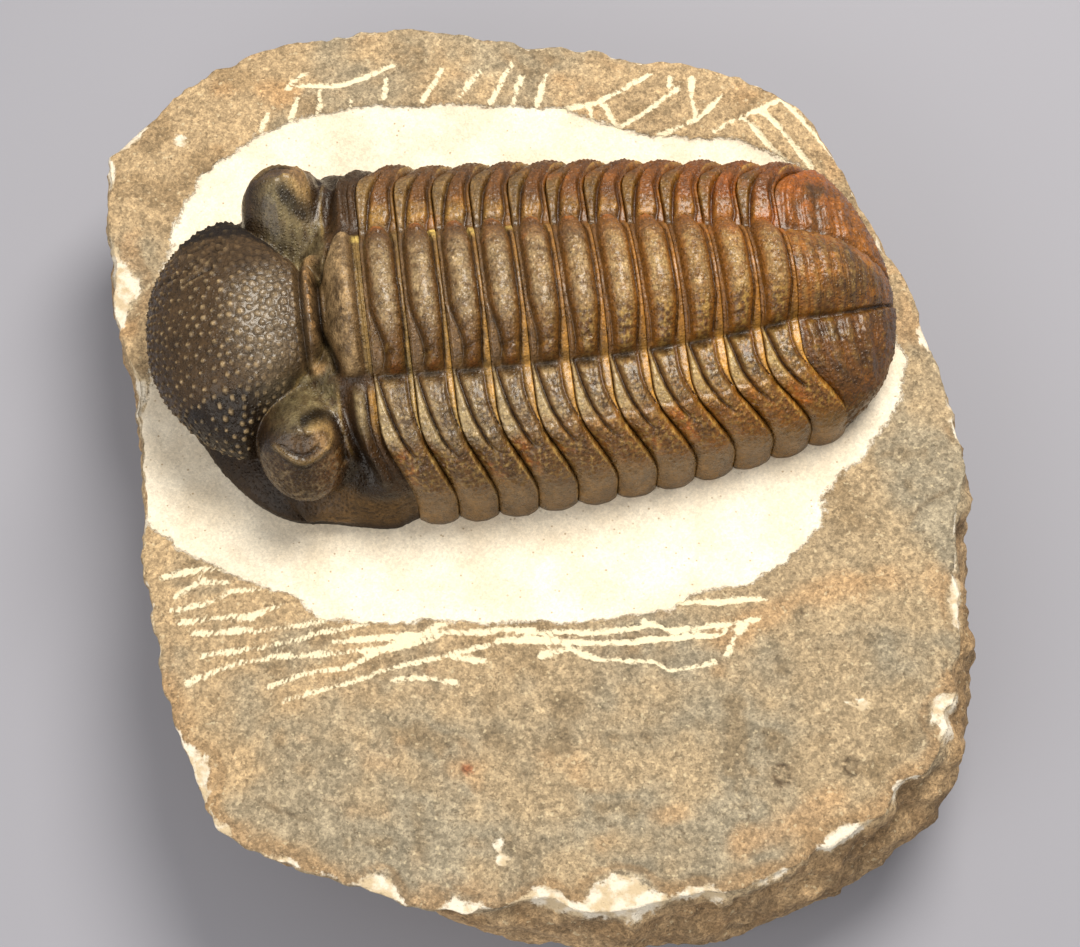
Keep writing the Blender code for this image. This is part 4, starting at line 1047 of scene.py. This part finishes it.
def slab_form(angle):
    """The slab without its detail: rings of points down its top, its side and its base.

    Also how far in from the rim each point is, how near the broken corner each spoke is, the height of
    the rim along it, and how many rings the top and the side have.
    """
    heading = np.stack([np.cos(angle), np.sin(angle)], axis=-1)
    reach = slab_reach(angle)
    edge_points = np.concatenate([reach[:, None] * heading, np.zeros((len(angle), 1))], axis=-1)
    reach = reach + 0.45 * layered_noise(edge_points, 9, 90) + 0.25 * noise(edge_points, 1.6, 91)
    toward_corner = hump(np.angle(np.exp(1j * (angle - BOTTOM_RIGHT))), 0, 1.1)
    begin, full, easing, end = OVERHANG_BEARINGS
    overhang = ramp(begin, full, angle) * fall(easing, end, angle)
    scallops = np.abs(layered_noise(edge_points, 7, 89, 2))
    scallops = ramp(0.18, 0.5, scallops) * (0.25 + 0.75 * (edge_points[:, 1] < -40))
    rim_loss = SCALLOP_DEPTH * scallops * (1 - 0.7 * overhang)
    rim = reach - EDGE_INSET - CORNER_LOSS * toward_corner + OVERHANG_RIM * overhang - rim_loss
    hidden = np.linspace(0.02, HIDDEN_SHARE, HIDDEN_RINGS, endpoint=False)
    share = np.concatenate([hidden, np.linspace(HIDDEN_SHARE, 1, TOP_RINGS)])
    top_distance = share[:, None] * rim[None, :]
    x = BED_CENTRE[0] + top_distance * heading[:, 0]
    y = BED_CENTRE[1] + top_distance * heading[:, 1]
    top = np.stack([x, y, top_height(x, y)], axis=-1)

    stops = np.array([(EDGE_INSET, EDGE_HEIGHT), *SIDE_RINGS])
    steps = np.linspace(0, len(stops) - 1, SIDE_STEPS + 1)[1:]
    inset = np.interp(steps, np.arange(len(stops)), stops[:, 0])
    height = np.interp(steps, np.arange(len(stops)), stops[:, 1])
    height = height[:, None]
    drop = (EDGE_HEIGHT - height) / EDGE_HEIGHT
    side_distance = reach - inset[:, None] - CORNER_LOSS * toward_corner * ramp(17.5, 28.2, height)
    side_distance -= OVERHANG_SLOPE * (BED_HEIGHT - height) * overhang
    side_distance += OVERHANG_RIM * overhang * fall(0, 0.1, drop)
    side_distance -= rim_loss * fall(0, 0.22, drop)
    rim_z = top[-1, :, 2]
    x = BED_CENTRE[0] + side_distance * heading[:, 0]
    y = BED_CENTRE[1] + side_distance * heading[:, 1]
    side = np.stack([x, y, height + (rim_z - EDGE_HEIGHT - 0.1) * ramp(16, 28.6, height)], axis=-1)
    base_share = np.linspace(1, 0.05, BASE_RINGS + 1)[1:, None, None]
    centre = np.array([*BED_CENTRE, 0])
    base = centre + base_share * (side[-1] - centre)
    from_rim = np.concatenate([rim - top_distance, 0 * side_distance, 0 * base[..., 0]])
    return np.concatenate([top, side, base]), from_rim, toward_corner, rim_z, len(top), len(side)


def facing(skin):
    """Which way the slab's surface faces, eased from ring to ring."""
    around = np.roll(skin, -1, axis=1) - np.roll(skin, 1, axis=1)
    down = np.gradient(skin, axis=0)
    normal = np.cross(down, around)
    normal /= np.maximum(np.linalg.norm(normal, axis=-1, keepdims=True), 1e-9)
    for _ in range(3):
        normal[1:-1] = normal[1:-1] / 2 + normal[:-2] / 4 + normal[2:] / 4
    return normal


def make_slab(material):
    angle = even_spokes(SLAB_SPOKES)
    skin, from_rim, toward_corner, rim_z, top_count, side_count = slab_form(angle)
    normal = facing(skin)
    x, y, z = skin[..., 0], skin[..., 1], skin[..., 2]
    ring = np.arange(len(skin))[:, None] + 0 * angle
    beyond_top = ring >= top_count

    # the ground floor, the strokes and the bruised rim
    halo_line = distance_to_lines(x, y, [HALO + HALO[:1]])
    halo = np.where(inside_outline(x, y, HALO), halo_line, -halo_line)
    halo = halo + 0.7 * layered_noise(skin, 2.4, 92) + 0.5 * noise(skin, 7, 93)
    on_top = ramp(27, 28.6, z) * ~beyond_top
    natural = fall(-0.5, 0.6, halo)
    scratch_line = distance_to_lines(x + 0.3 * noise(skin, 3, 94), y + 0.3 * noise(skin, 3, 95), STROKES)
    weight = 0.42 + 0.22 * noise(skin, 2.5, 96)
    scratch_edge = np.clip(weight - scratch_line, -1.5, 1) - 2 * (1 - on_top)
    scratch = ramp(-0.2, 0.3, scratch_edge) * natural
    bruise = np.zeros(x.shape)
    for cx, cy, radius, strength in CHIPS:
        bruise = np.maximum(bruise, strength * fall(0.3, 1.1, np.hypot(x - cx, y - cy) / radius))
    side_depth = np.maximum(rim_z - z, 0) * beyond_top
    reach_in = from_rim / (1 + 2.6 * bruise**2) + side_depth / 2.8
    ragged = 0.85 * layered_noise(skin, 4, 97, 5) + 0.3 * noise(skin, 0.9, 109)
    bruised = 0.9 * bruise + ragged - reach_in
    chip = ramp(-0.15, 0.55, bruised) * (z > 1)
    for cx, cy, radius in SPOTS:
        spot = fall(0.6, 1, np.hypot(x - cx, y - cy) / radius + 0.3 * noise(skin, 1, 98))
        chip = np.maximum(chip, spot * on_top)

    # relief of the top, and then of the side
    grain = layered_noise(skin, 1.1, 100, 3)
    lumps = layered_noise(skin, 9, 101, 4)
    relief = natural * on_top * (0.32 * lumps + 0.16 * grain)
    relief -= 0.4 * ramp(-0.8, 0.8, halo) * on_top
    relief += 0.05 * noise(skin, 0.9, 102) * (1 - natural)
    relief -= 0.3 * scratch
    relief -= (0.45 + 0.3 * noise(skin, 2, 103)) * chip * (from_rim < 8)
    relief -= 0.35 * fall(0, 0.5, distance_to_lines(x, y, STEPS)) * on_top
    crack = distance_to_lines(x + 0.5 * noise(skin, 2, 104), y, CRACKS)
    relief -= 0.4 * fall(0.1, 0.6, crack) * on_top

    on_side = ramp(0, 3, side_depth) * beyond_top * ramp(0, 3, z)
    beds = np.stack([x, y, 3.2 * z + 1.4 * noise(skin, 14, 105)], axis=-1)
    ledges = layered_noise(beds, 8, 106, 4)
    ledges = np.sign(ledges) * np.abs(ledges) ** 0.6
    facets = cells(np.stack([x, y, 1.8 * z], axis=-1), 6.5, 107)
    relief += on_side * (0.75 * ledges + 1.5 * (facets - 0.55) + 0.22 * grain)
    spill = ramp(0.1, 0.7, toward_corner) * on_side * ramp(8, 20, z)
    relief += 2 * spill * (layered_noise(skin, 5, 108, 4) + 0.2)
    relief = np.where(ring >= top_count + side_count - 1, 0, relief)
    skin = skin + normal * relief[..., None]
    skin[..., 2] = np.maximum(skin[..., 2], 0)
    skin[top_count + side_count - 1 :, :, 2] = 0

    # colours
    mottle, blot = layered_noise(skin, 16, 110, 3), layered_noise(skin, 5, 111, 3)
    tint = paint(
        STONE_TAN + 0 * skin,
        (STONE_GREY, ramp(-0.1, 0.5, mottle + 0.5 * blot)),
        (STONE_BROWN, 0.7 * ramp(0.1, 0.6, blot - 0.4 * mottle)),
        (STONE_ORANGE, 0.4 * ramp(0.25, 0.7, layered_noise(skin, 7, 112, 3))),
        (STONE_ORANGE, 0.5 * fall(0, 3, distance_to_lines(x, y, STREAKS) + 1.5 * blot)),
    )
    tint = tint * (1 - (on_top * ramp(5, 45, x - y))[..., None] * FRONT_STONE_SHADE)
    tint = paint(tint, (SIDE_BROWN, 0.6 * ramp(0.5, 5, side_depth) * beyond_top * (0.8 + 0.4 * mottle)))
    tint = tint * (1 + on_side * (0.22 * ledges + 0.2 * (facets - 0.5)))[..., None]
    tint = paint(tint, (SIDE_BROWN * 0.55, 0.6 * spill * ramp(-0.3, 0.4, blot)))
    for cx, cy, radius in RINGED_SPOTS:
        tint = paint(tint, (STONE_DARK * 0.7, 0.95 * hump(np.hypot(x - cx, (y - cy) * 0.8), radius, 0.55)))
    fracture = fall(0.5, 3.5, from_rim + 2 * blot) * ~beyond_top * (y < -35)
    tint = paint(
        tint,
        (RUSTY_SPOT, 0.8 * fall(0.5, 1.1, np.hypot(x + 8.3, y + 49.4))),
        (SIDE_BROWN * 0.8, 0.7 * fracture),
        (SIDE_BROWN * 0.65, 0.6 * band(bruised, -1.5, -0.2, 0.4) * ramp(0.2, 0.7, bruise)),
    )
    tint = tint * (1 + 0.3 * np.clip(grain, -0.6, 0.6) + 0.14 * lumps)[..., None]
    tint = paint(tint, (STONE_DARK, 0.6 * fall(0, 0.5, crack) * on_top))

    index = np.arange(x.size).reshape(x.shape)
    after = np.roll(index, -1, axis=1)
    quads = np.stack([index[:-1], index[1:], after[1:], after[:-1]], axis=-1).reshape(-1, 4)
    faces = [*quads.tolist(), index[0].tolist(), index[-1][::-1].tolist()]
    mesh = bpy.data.meshes.new("slab")
    mesh.from_pydata(in_metres(skin).reshape(-1, 3).tolist(), [], faces)
    add_attribute(mesh, "tint", tint.reshape(-1, 3))
    add_attribute(mesh, "halo", (halo * on_top - 5 * (1 - on_top)).reshape(-1))
    add_attribute(mesh, "scratch", scratch_edge.reshape(-1))
    add_attribute(mesh, "chip", chip.reshape(-1))
    finish_piece("slab", mesh, material, "matrix")


# ---------------------------------------------------------------- materials
class Nodes:
    """A short way to write a shader: each call adds a node and links what it is given."""

    def __init__(self, name):
        self.material = bpy.data.materials.new(name)
        self.material.use_nodes = True
        self.tree = self.material.node_tree
        self.shader = self.tree.nodes["Principled BSDF"]
        self.place = self.add("ShaderNodeTexCoord").outputs["Object"]

    def add(self, kind, **settings):
        node = self.tree.nodes.new(kind)
        for key, value in settings.items():
            setattr(node, key, value)
        return node

    def put(self, socket, value):
        if isinstance(value, bpy.types.NodeSocket):
            self.tree.links.new(value, socket)
        else:
            socket.default_value = value

    def attribute(self, name, output="Fac"):
        return self.add("ShaderNodeAttribute", attribute_name=name).outputs[output]

    def noise(self, size_mm, detail=3.0, roughness=0.55):
        node = self.add("ShaderNodeTexNoise")
        self.put(node.inputs["Vector"], self.place)
        node.inputs["Scale"].default_value = 1000.0 / size_mm
        node.inputs["Detail"].default_value = detail
        node.inputs["Roughness"].default_value = roughness
        return node.outputs["Fac"]

    def cells(self, size_mm, output="Distance"):
        node = self.add("ShaderNodeTexVoronoi")
        self.put(node.inputs["Vector"], self.place)
        node.inputs["Scale"].default_value = 1000.0 / size_mm
        return node.outputs[output]

    def math(self, operation, first, second):
        node = self.add("ShaderNodeMath", operation=operation)
        self.put(node.inputs[0], first)
        self.put(node.inputs[1], second)
        return node.outputs[0]

    def spread(self, value, low, high, new_low=0.0, new_high=1.0):
        """value from low..high to new_low..new_high, smooth and held at the ends."""
        node = self.add("ShaderNodeMapRange", interpolation_type="SMOOTHSTEP")
        self.put(node.inputs["Value"], value)
        for key, number in zip(("From Min", "From Max", "To Min", "To Max"), (low, high, new_low, new_high)):
            node.inputs[key].default_value = number
        return node.outputs["Result"]

    def mix(self, share, first, second):
        node = self.add("ShaderNodeMix", data_type="RGBA")
        self.put(node.inputs["Factor"], share)
        for socket, value in ((node.inputs[6], first), (node.inputs[7], second)):
            self.put(socket, (*value, 1.0) if isinstance(value, np.ndarray) else value)
        return node.outputs[2]

    def shade(self, colour, value, *limits):
        """Multiplies a colour by a value spread between the limits."""
        factor = self.spread(value, *limits)
        node = self.add("ShaderNodeVectorMath", operation="SCALE")
        self.put(node.inputs[0], colour)
        self.put(node.inputs["Scale"], factor)
        return node.outputs[0]

    def ragged(self, line, grain, depth):
        """Moves a line to and fro by the grain."""
        return self.math("ADD", line, self.math("MULTIPLY", self.math("SUBTRACT", grain, 0.5), depth))

    def bump(self, height, depth_mm, under=None):
        node = self.add("ShaderNodeBump")
        self.put(node.inputs["Height"], height)
        node.inputs["Strength"].default_value = 1.0
        node.inputs["Distance"].default_value = depth_mm * MM
        if under is not None:
            self.put(node.inputs["Normal"], under)
        return node.outputs["Normal"]

    def finish(self, colour, roughness, normal, **others):
        self.put(self.shader.inputs["Base Color"], colour)
        self.put(self.shader.inputs["Roughness"], roughness)
        self.put(self.shader.inputs["Normal"], normal)
        for key, value in others.items():
            self.put(self.shader.inputs[key.replace("_", " ")], value)
        return self.material


def shell_material(name, dull, shiny, specular, coat=None):
    """Fossil calcite, polished by hand: glossy, with fine pits and a mottle of darker grains.

    Where no coat is given, the mesh says how matt and how glossy each place is.
    """
    nodes = Nodes(name)
    tint = nodes.attribute("tint", "Color")
    fine, broad = nodes.noise(0.3, 4.0, 0.7), nodes.noise(1.6, 3.0)
    pits, granules = nodes.cells(0.5), nodes.cells(0.55)
    colour = nodes.shade(tint, fine, 0.28, 0.72, 0.74, 1.28)
    colour = nodes.shade(colour, nodes.cells(0.3, output="Color"), 0.0, 1.0, 0.84, 1.16)
    colour = nodes.shade(colour, broad, 0.3, 0.7, 0.84, 1.16)
    colour = nodes.shade(colour, pits, 0.05, 0.3, 0.7, 1.0)
    wear = nodes.math("ADD", fine, nodes.math("MULTIPLY", broad, 0.6))
    roughness = nodes.spread(wear, 0.5, 1.1, shiny, dull)
    if coat is None:
        coat = nodes.attribute("gloss")
        roughness = nodes.math("MAXIMUM", roughness, nodes.math("MULTIPLY", nodes.attribute("matte"), 0.85))
    normal = nodes.bump(nodes.noise(0.2, 3.0, 0.6), 0.06)
    normal = nodes.bump(nodes.spread(granules, 0.1, 0.5, 1.0, 0.0), 0.09, normal)
    normal = nodes.bump(nodes.spread(pits, 0.05, 0.35), 0.05, normal)
    return nodes.finish(
        colour, roughness, normal, Coat_Weight=coat, Coat_Roughness=0.14, Specular_IOR_Level=specular
    )


def stone_material(name):
    """Limestone: mottled and granular, cream where it was ground out, white where scratched or bruised."""
    nodes = Nodes(name)
    tint = nodes.attribute("tint", "Color")
    halo, scratch, chip = (nodes.attribute(key) for key in ("halo", "scratch", "chip"))
    grain, fine = nodes.noise(0.8, 4.0, 0.7), nodes.noise(0.3, 3.0, 0.7)
    crystals = nodes.cells(0.55)
    crystal_shade = nodes.cells(0.42, output="Color")
    lump_shade = nodes.cells(0.9, output="Color")
    natural = nodes.shade(tint, grain, 0.3, 0.7, 0.76, 1.24)
    natural = nodes.shade(natural, fine, 0.3, 0.7, 0.8, 1.2)
    natural = nodes.shade(natural, crystal_shade, 0.1, 0.9, 0.75, 1.15)
    natural = nodes.shade(natural, lump_shade, 0.0, 1.0, 0.86, 1.14)
    dark_grains = nodes.math("MULTIPLY", nodes.spread(nodes.noise(0.7, 2.0), 0.6, 0.72), 0.55)
    natural = nodes.mix(dark_grains, natural, STONE_DARK)
    pale_grains = nodes.math("MULTIPLY", nodes.spread(nodes.noise(0.95, 2.0), 0.62, 0.74), 0.5)
    natural = nodes.mix(pale_grains, natural, srgb(206, 190, 156))
    cream = nodes.mix(nodes.spread(nodes.noise(9.0), 0.3, 0.7), srgb(212, 199, 177), srgb(228, 218, 199))
    cream = nodes.shade(cream, fine, 0.25, 0.75, 0.84, 1.07)
    cream = nodes.shade(cream, crystal_shade, 0.1, 0.9, 0.9, 1.05)
    speck = nodes.spread(nodes.cells(1.15), 0.10, 0.19, 1.0, 0.0)
    speck = nodes.math("MULTIPLY", speck, nodes.spread(nodes.noise(2.0), 0.45, 0.6, 0.0, 0.75))
    cream = nodes.mix(speck, cream, srgb(150, 128, 96))
    edge = nodes.ragged(halo, grain, 2.2)
    colour = nodes.mix(nodes.spread(edge, -0.25, 0.25), natural, cream)
    rough_scratch = nodes.ragged(scratch, grain, 1.3)
    colour = nodes.mix(nodes.spread(rough_scratch, -0.14, 0.18), colour, srgb(218, 206, 176))
    rough_chip = nodes.ragged(chip, grain, 1.8)
    white = nodes.mix(nodes.spread(nodes.noise(2.6), 0.4, 0.6), srgb(214, 205, 188), srgb(186, 168, 138))
    colour = nodes.mix(nodes.spread(rough_chip, 0.3, 0.85), colour, white)
    natural_share = nodes.spread(edge, -0.3, 0.4, 1.0, 0.22)
    normal = nodes.bump(nodes.math("MULTIPLY", grain, natural_share), 0.3)
    normal = nodes.bump(nodes.math("MULTIPLY", fine, natural_share), 0.1, normal)
    normal = nodes.bump(nodes.math("MULTIPLY", nodes.spread(crystals, 0.1, 0.5), natural_share), 0.05, normal)
    return nodes.finish(colour, nodes.spread(fine, 0.3, 0.7, 0.78, 0.95), normal, Specular_IOR_Level=0.3)


# ---------------------------------------------------------------- the pieces
make_slab(stone_material("limestone"))
make_head(shell_material("cephalon_calcite", 0.45, 0.2, 0.25))
thorax_material = shell_material("thorax_calcite", 0.5, 0.2, 0.35, coat=0.2)
for segment in range(SEGMENTS):
    make_segment(segment, thorax_material)
make_tail(shell_material("pygidium_calcite", 0.5, 0.22, 0.35, coat=0.18))


# ---------------------------------------------------------------- floor, light and camera
def plain_material(name, colour, roughness):
    made = bpy.data.materials.new(name)
    made.use_nodes = True
    inputs = made.node_tree.nodes["Principled BSDF"].inputs
    inputs["Base Color"].default_value = (*colour, 1.0)
    inputs["Roughness"].default_value = roughness
    return made


def make_floor():
    size = 2.0
    mesh = bpy.data.meshes.new("floor")
    corners = [(-size, -size, 0), (size, -size, 0), (size, size, 0), (-size, size, 0)]
    mesh.from_pydata(corners, [], [(0, 1, 2, 3)])
    mesh.materials.append(plain_material("floor", srgb(138, 139, 148), 0.9))
    floor = bpy.data.objects.new("floor", mesh)
    floor.location.z = -0.0002
    bpy.context.scene.collection.objects.link(floor)


def add_softbox(name, place_mm, aim_mm, size_mm, watts, colour):
    data = bpy.data.lights.new(name, "AREA")
    data.shape = "DISK"
    data.size = size_mm * MM
    data.energy = watts
    data.color = colour
    light = bpy.data.objects.new(name, data)
    light.location = Vector(place_mm) * MM
    light.rotation_mode = "QUATERNION"
    light.rotation_quaternion = (Vector(aim_mm) * MM - light.location).to_track_quat("-Z", "Y")
    bpy.context.scene.collection.objects.link(light)


def make_camera():
    data = bpy.data.cameras.new("camera")
    data.lens, data.sensor_width, data.sensor_fit = 70.0, 36.0, "HORIZONTAL"
    data.clip_start, data.clip_end = 0.01, 10.0
    camera = bpy.data.objects.new("camera", data)
    tilt, distance, aim = math.radians(23), 315.0, Vector((1.95, -6.33, 30.0))
    away = Vector((0.0, -math.sin(tilt), math.cos(tilt)))
    camera.location = (aim + away * distance) * MM
    camera.rotation_mode = "QUATERNION"
    camera.rotation_quaternion = (-away).to_track_quat("-Z", "Y")
    bpy.context.scene.collection.objects.link(camera)
    bpy.context.scene.camera = camera


make_floor()
add_softbox("key", (110, 170, 430), (0, 0, 30), 250, 3.1, (1.0, 0.94, 0.84))
add_softbox("fill", (-250, -330, 300), (0, 0, 20), 400, 1.4, (1.0, 0.96, 0.9))
make_camera()
world = bpy.data.worlds.new("room")
world.use_nodes = True
background = world.node_tree.nodes["Background"].inputs
background["Color"].default_value = (1.0, 0.97, 0.93, 1.0)
background["Strength"].default_value = 0.6
bpy.context.scene.world = world
bpy.context.scene.view_settings.view_transform = "Standard"
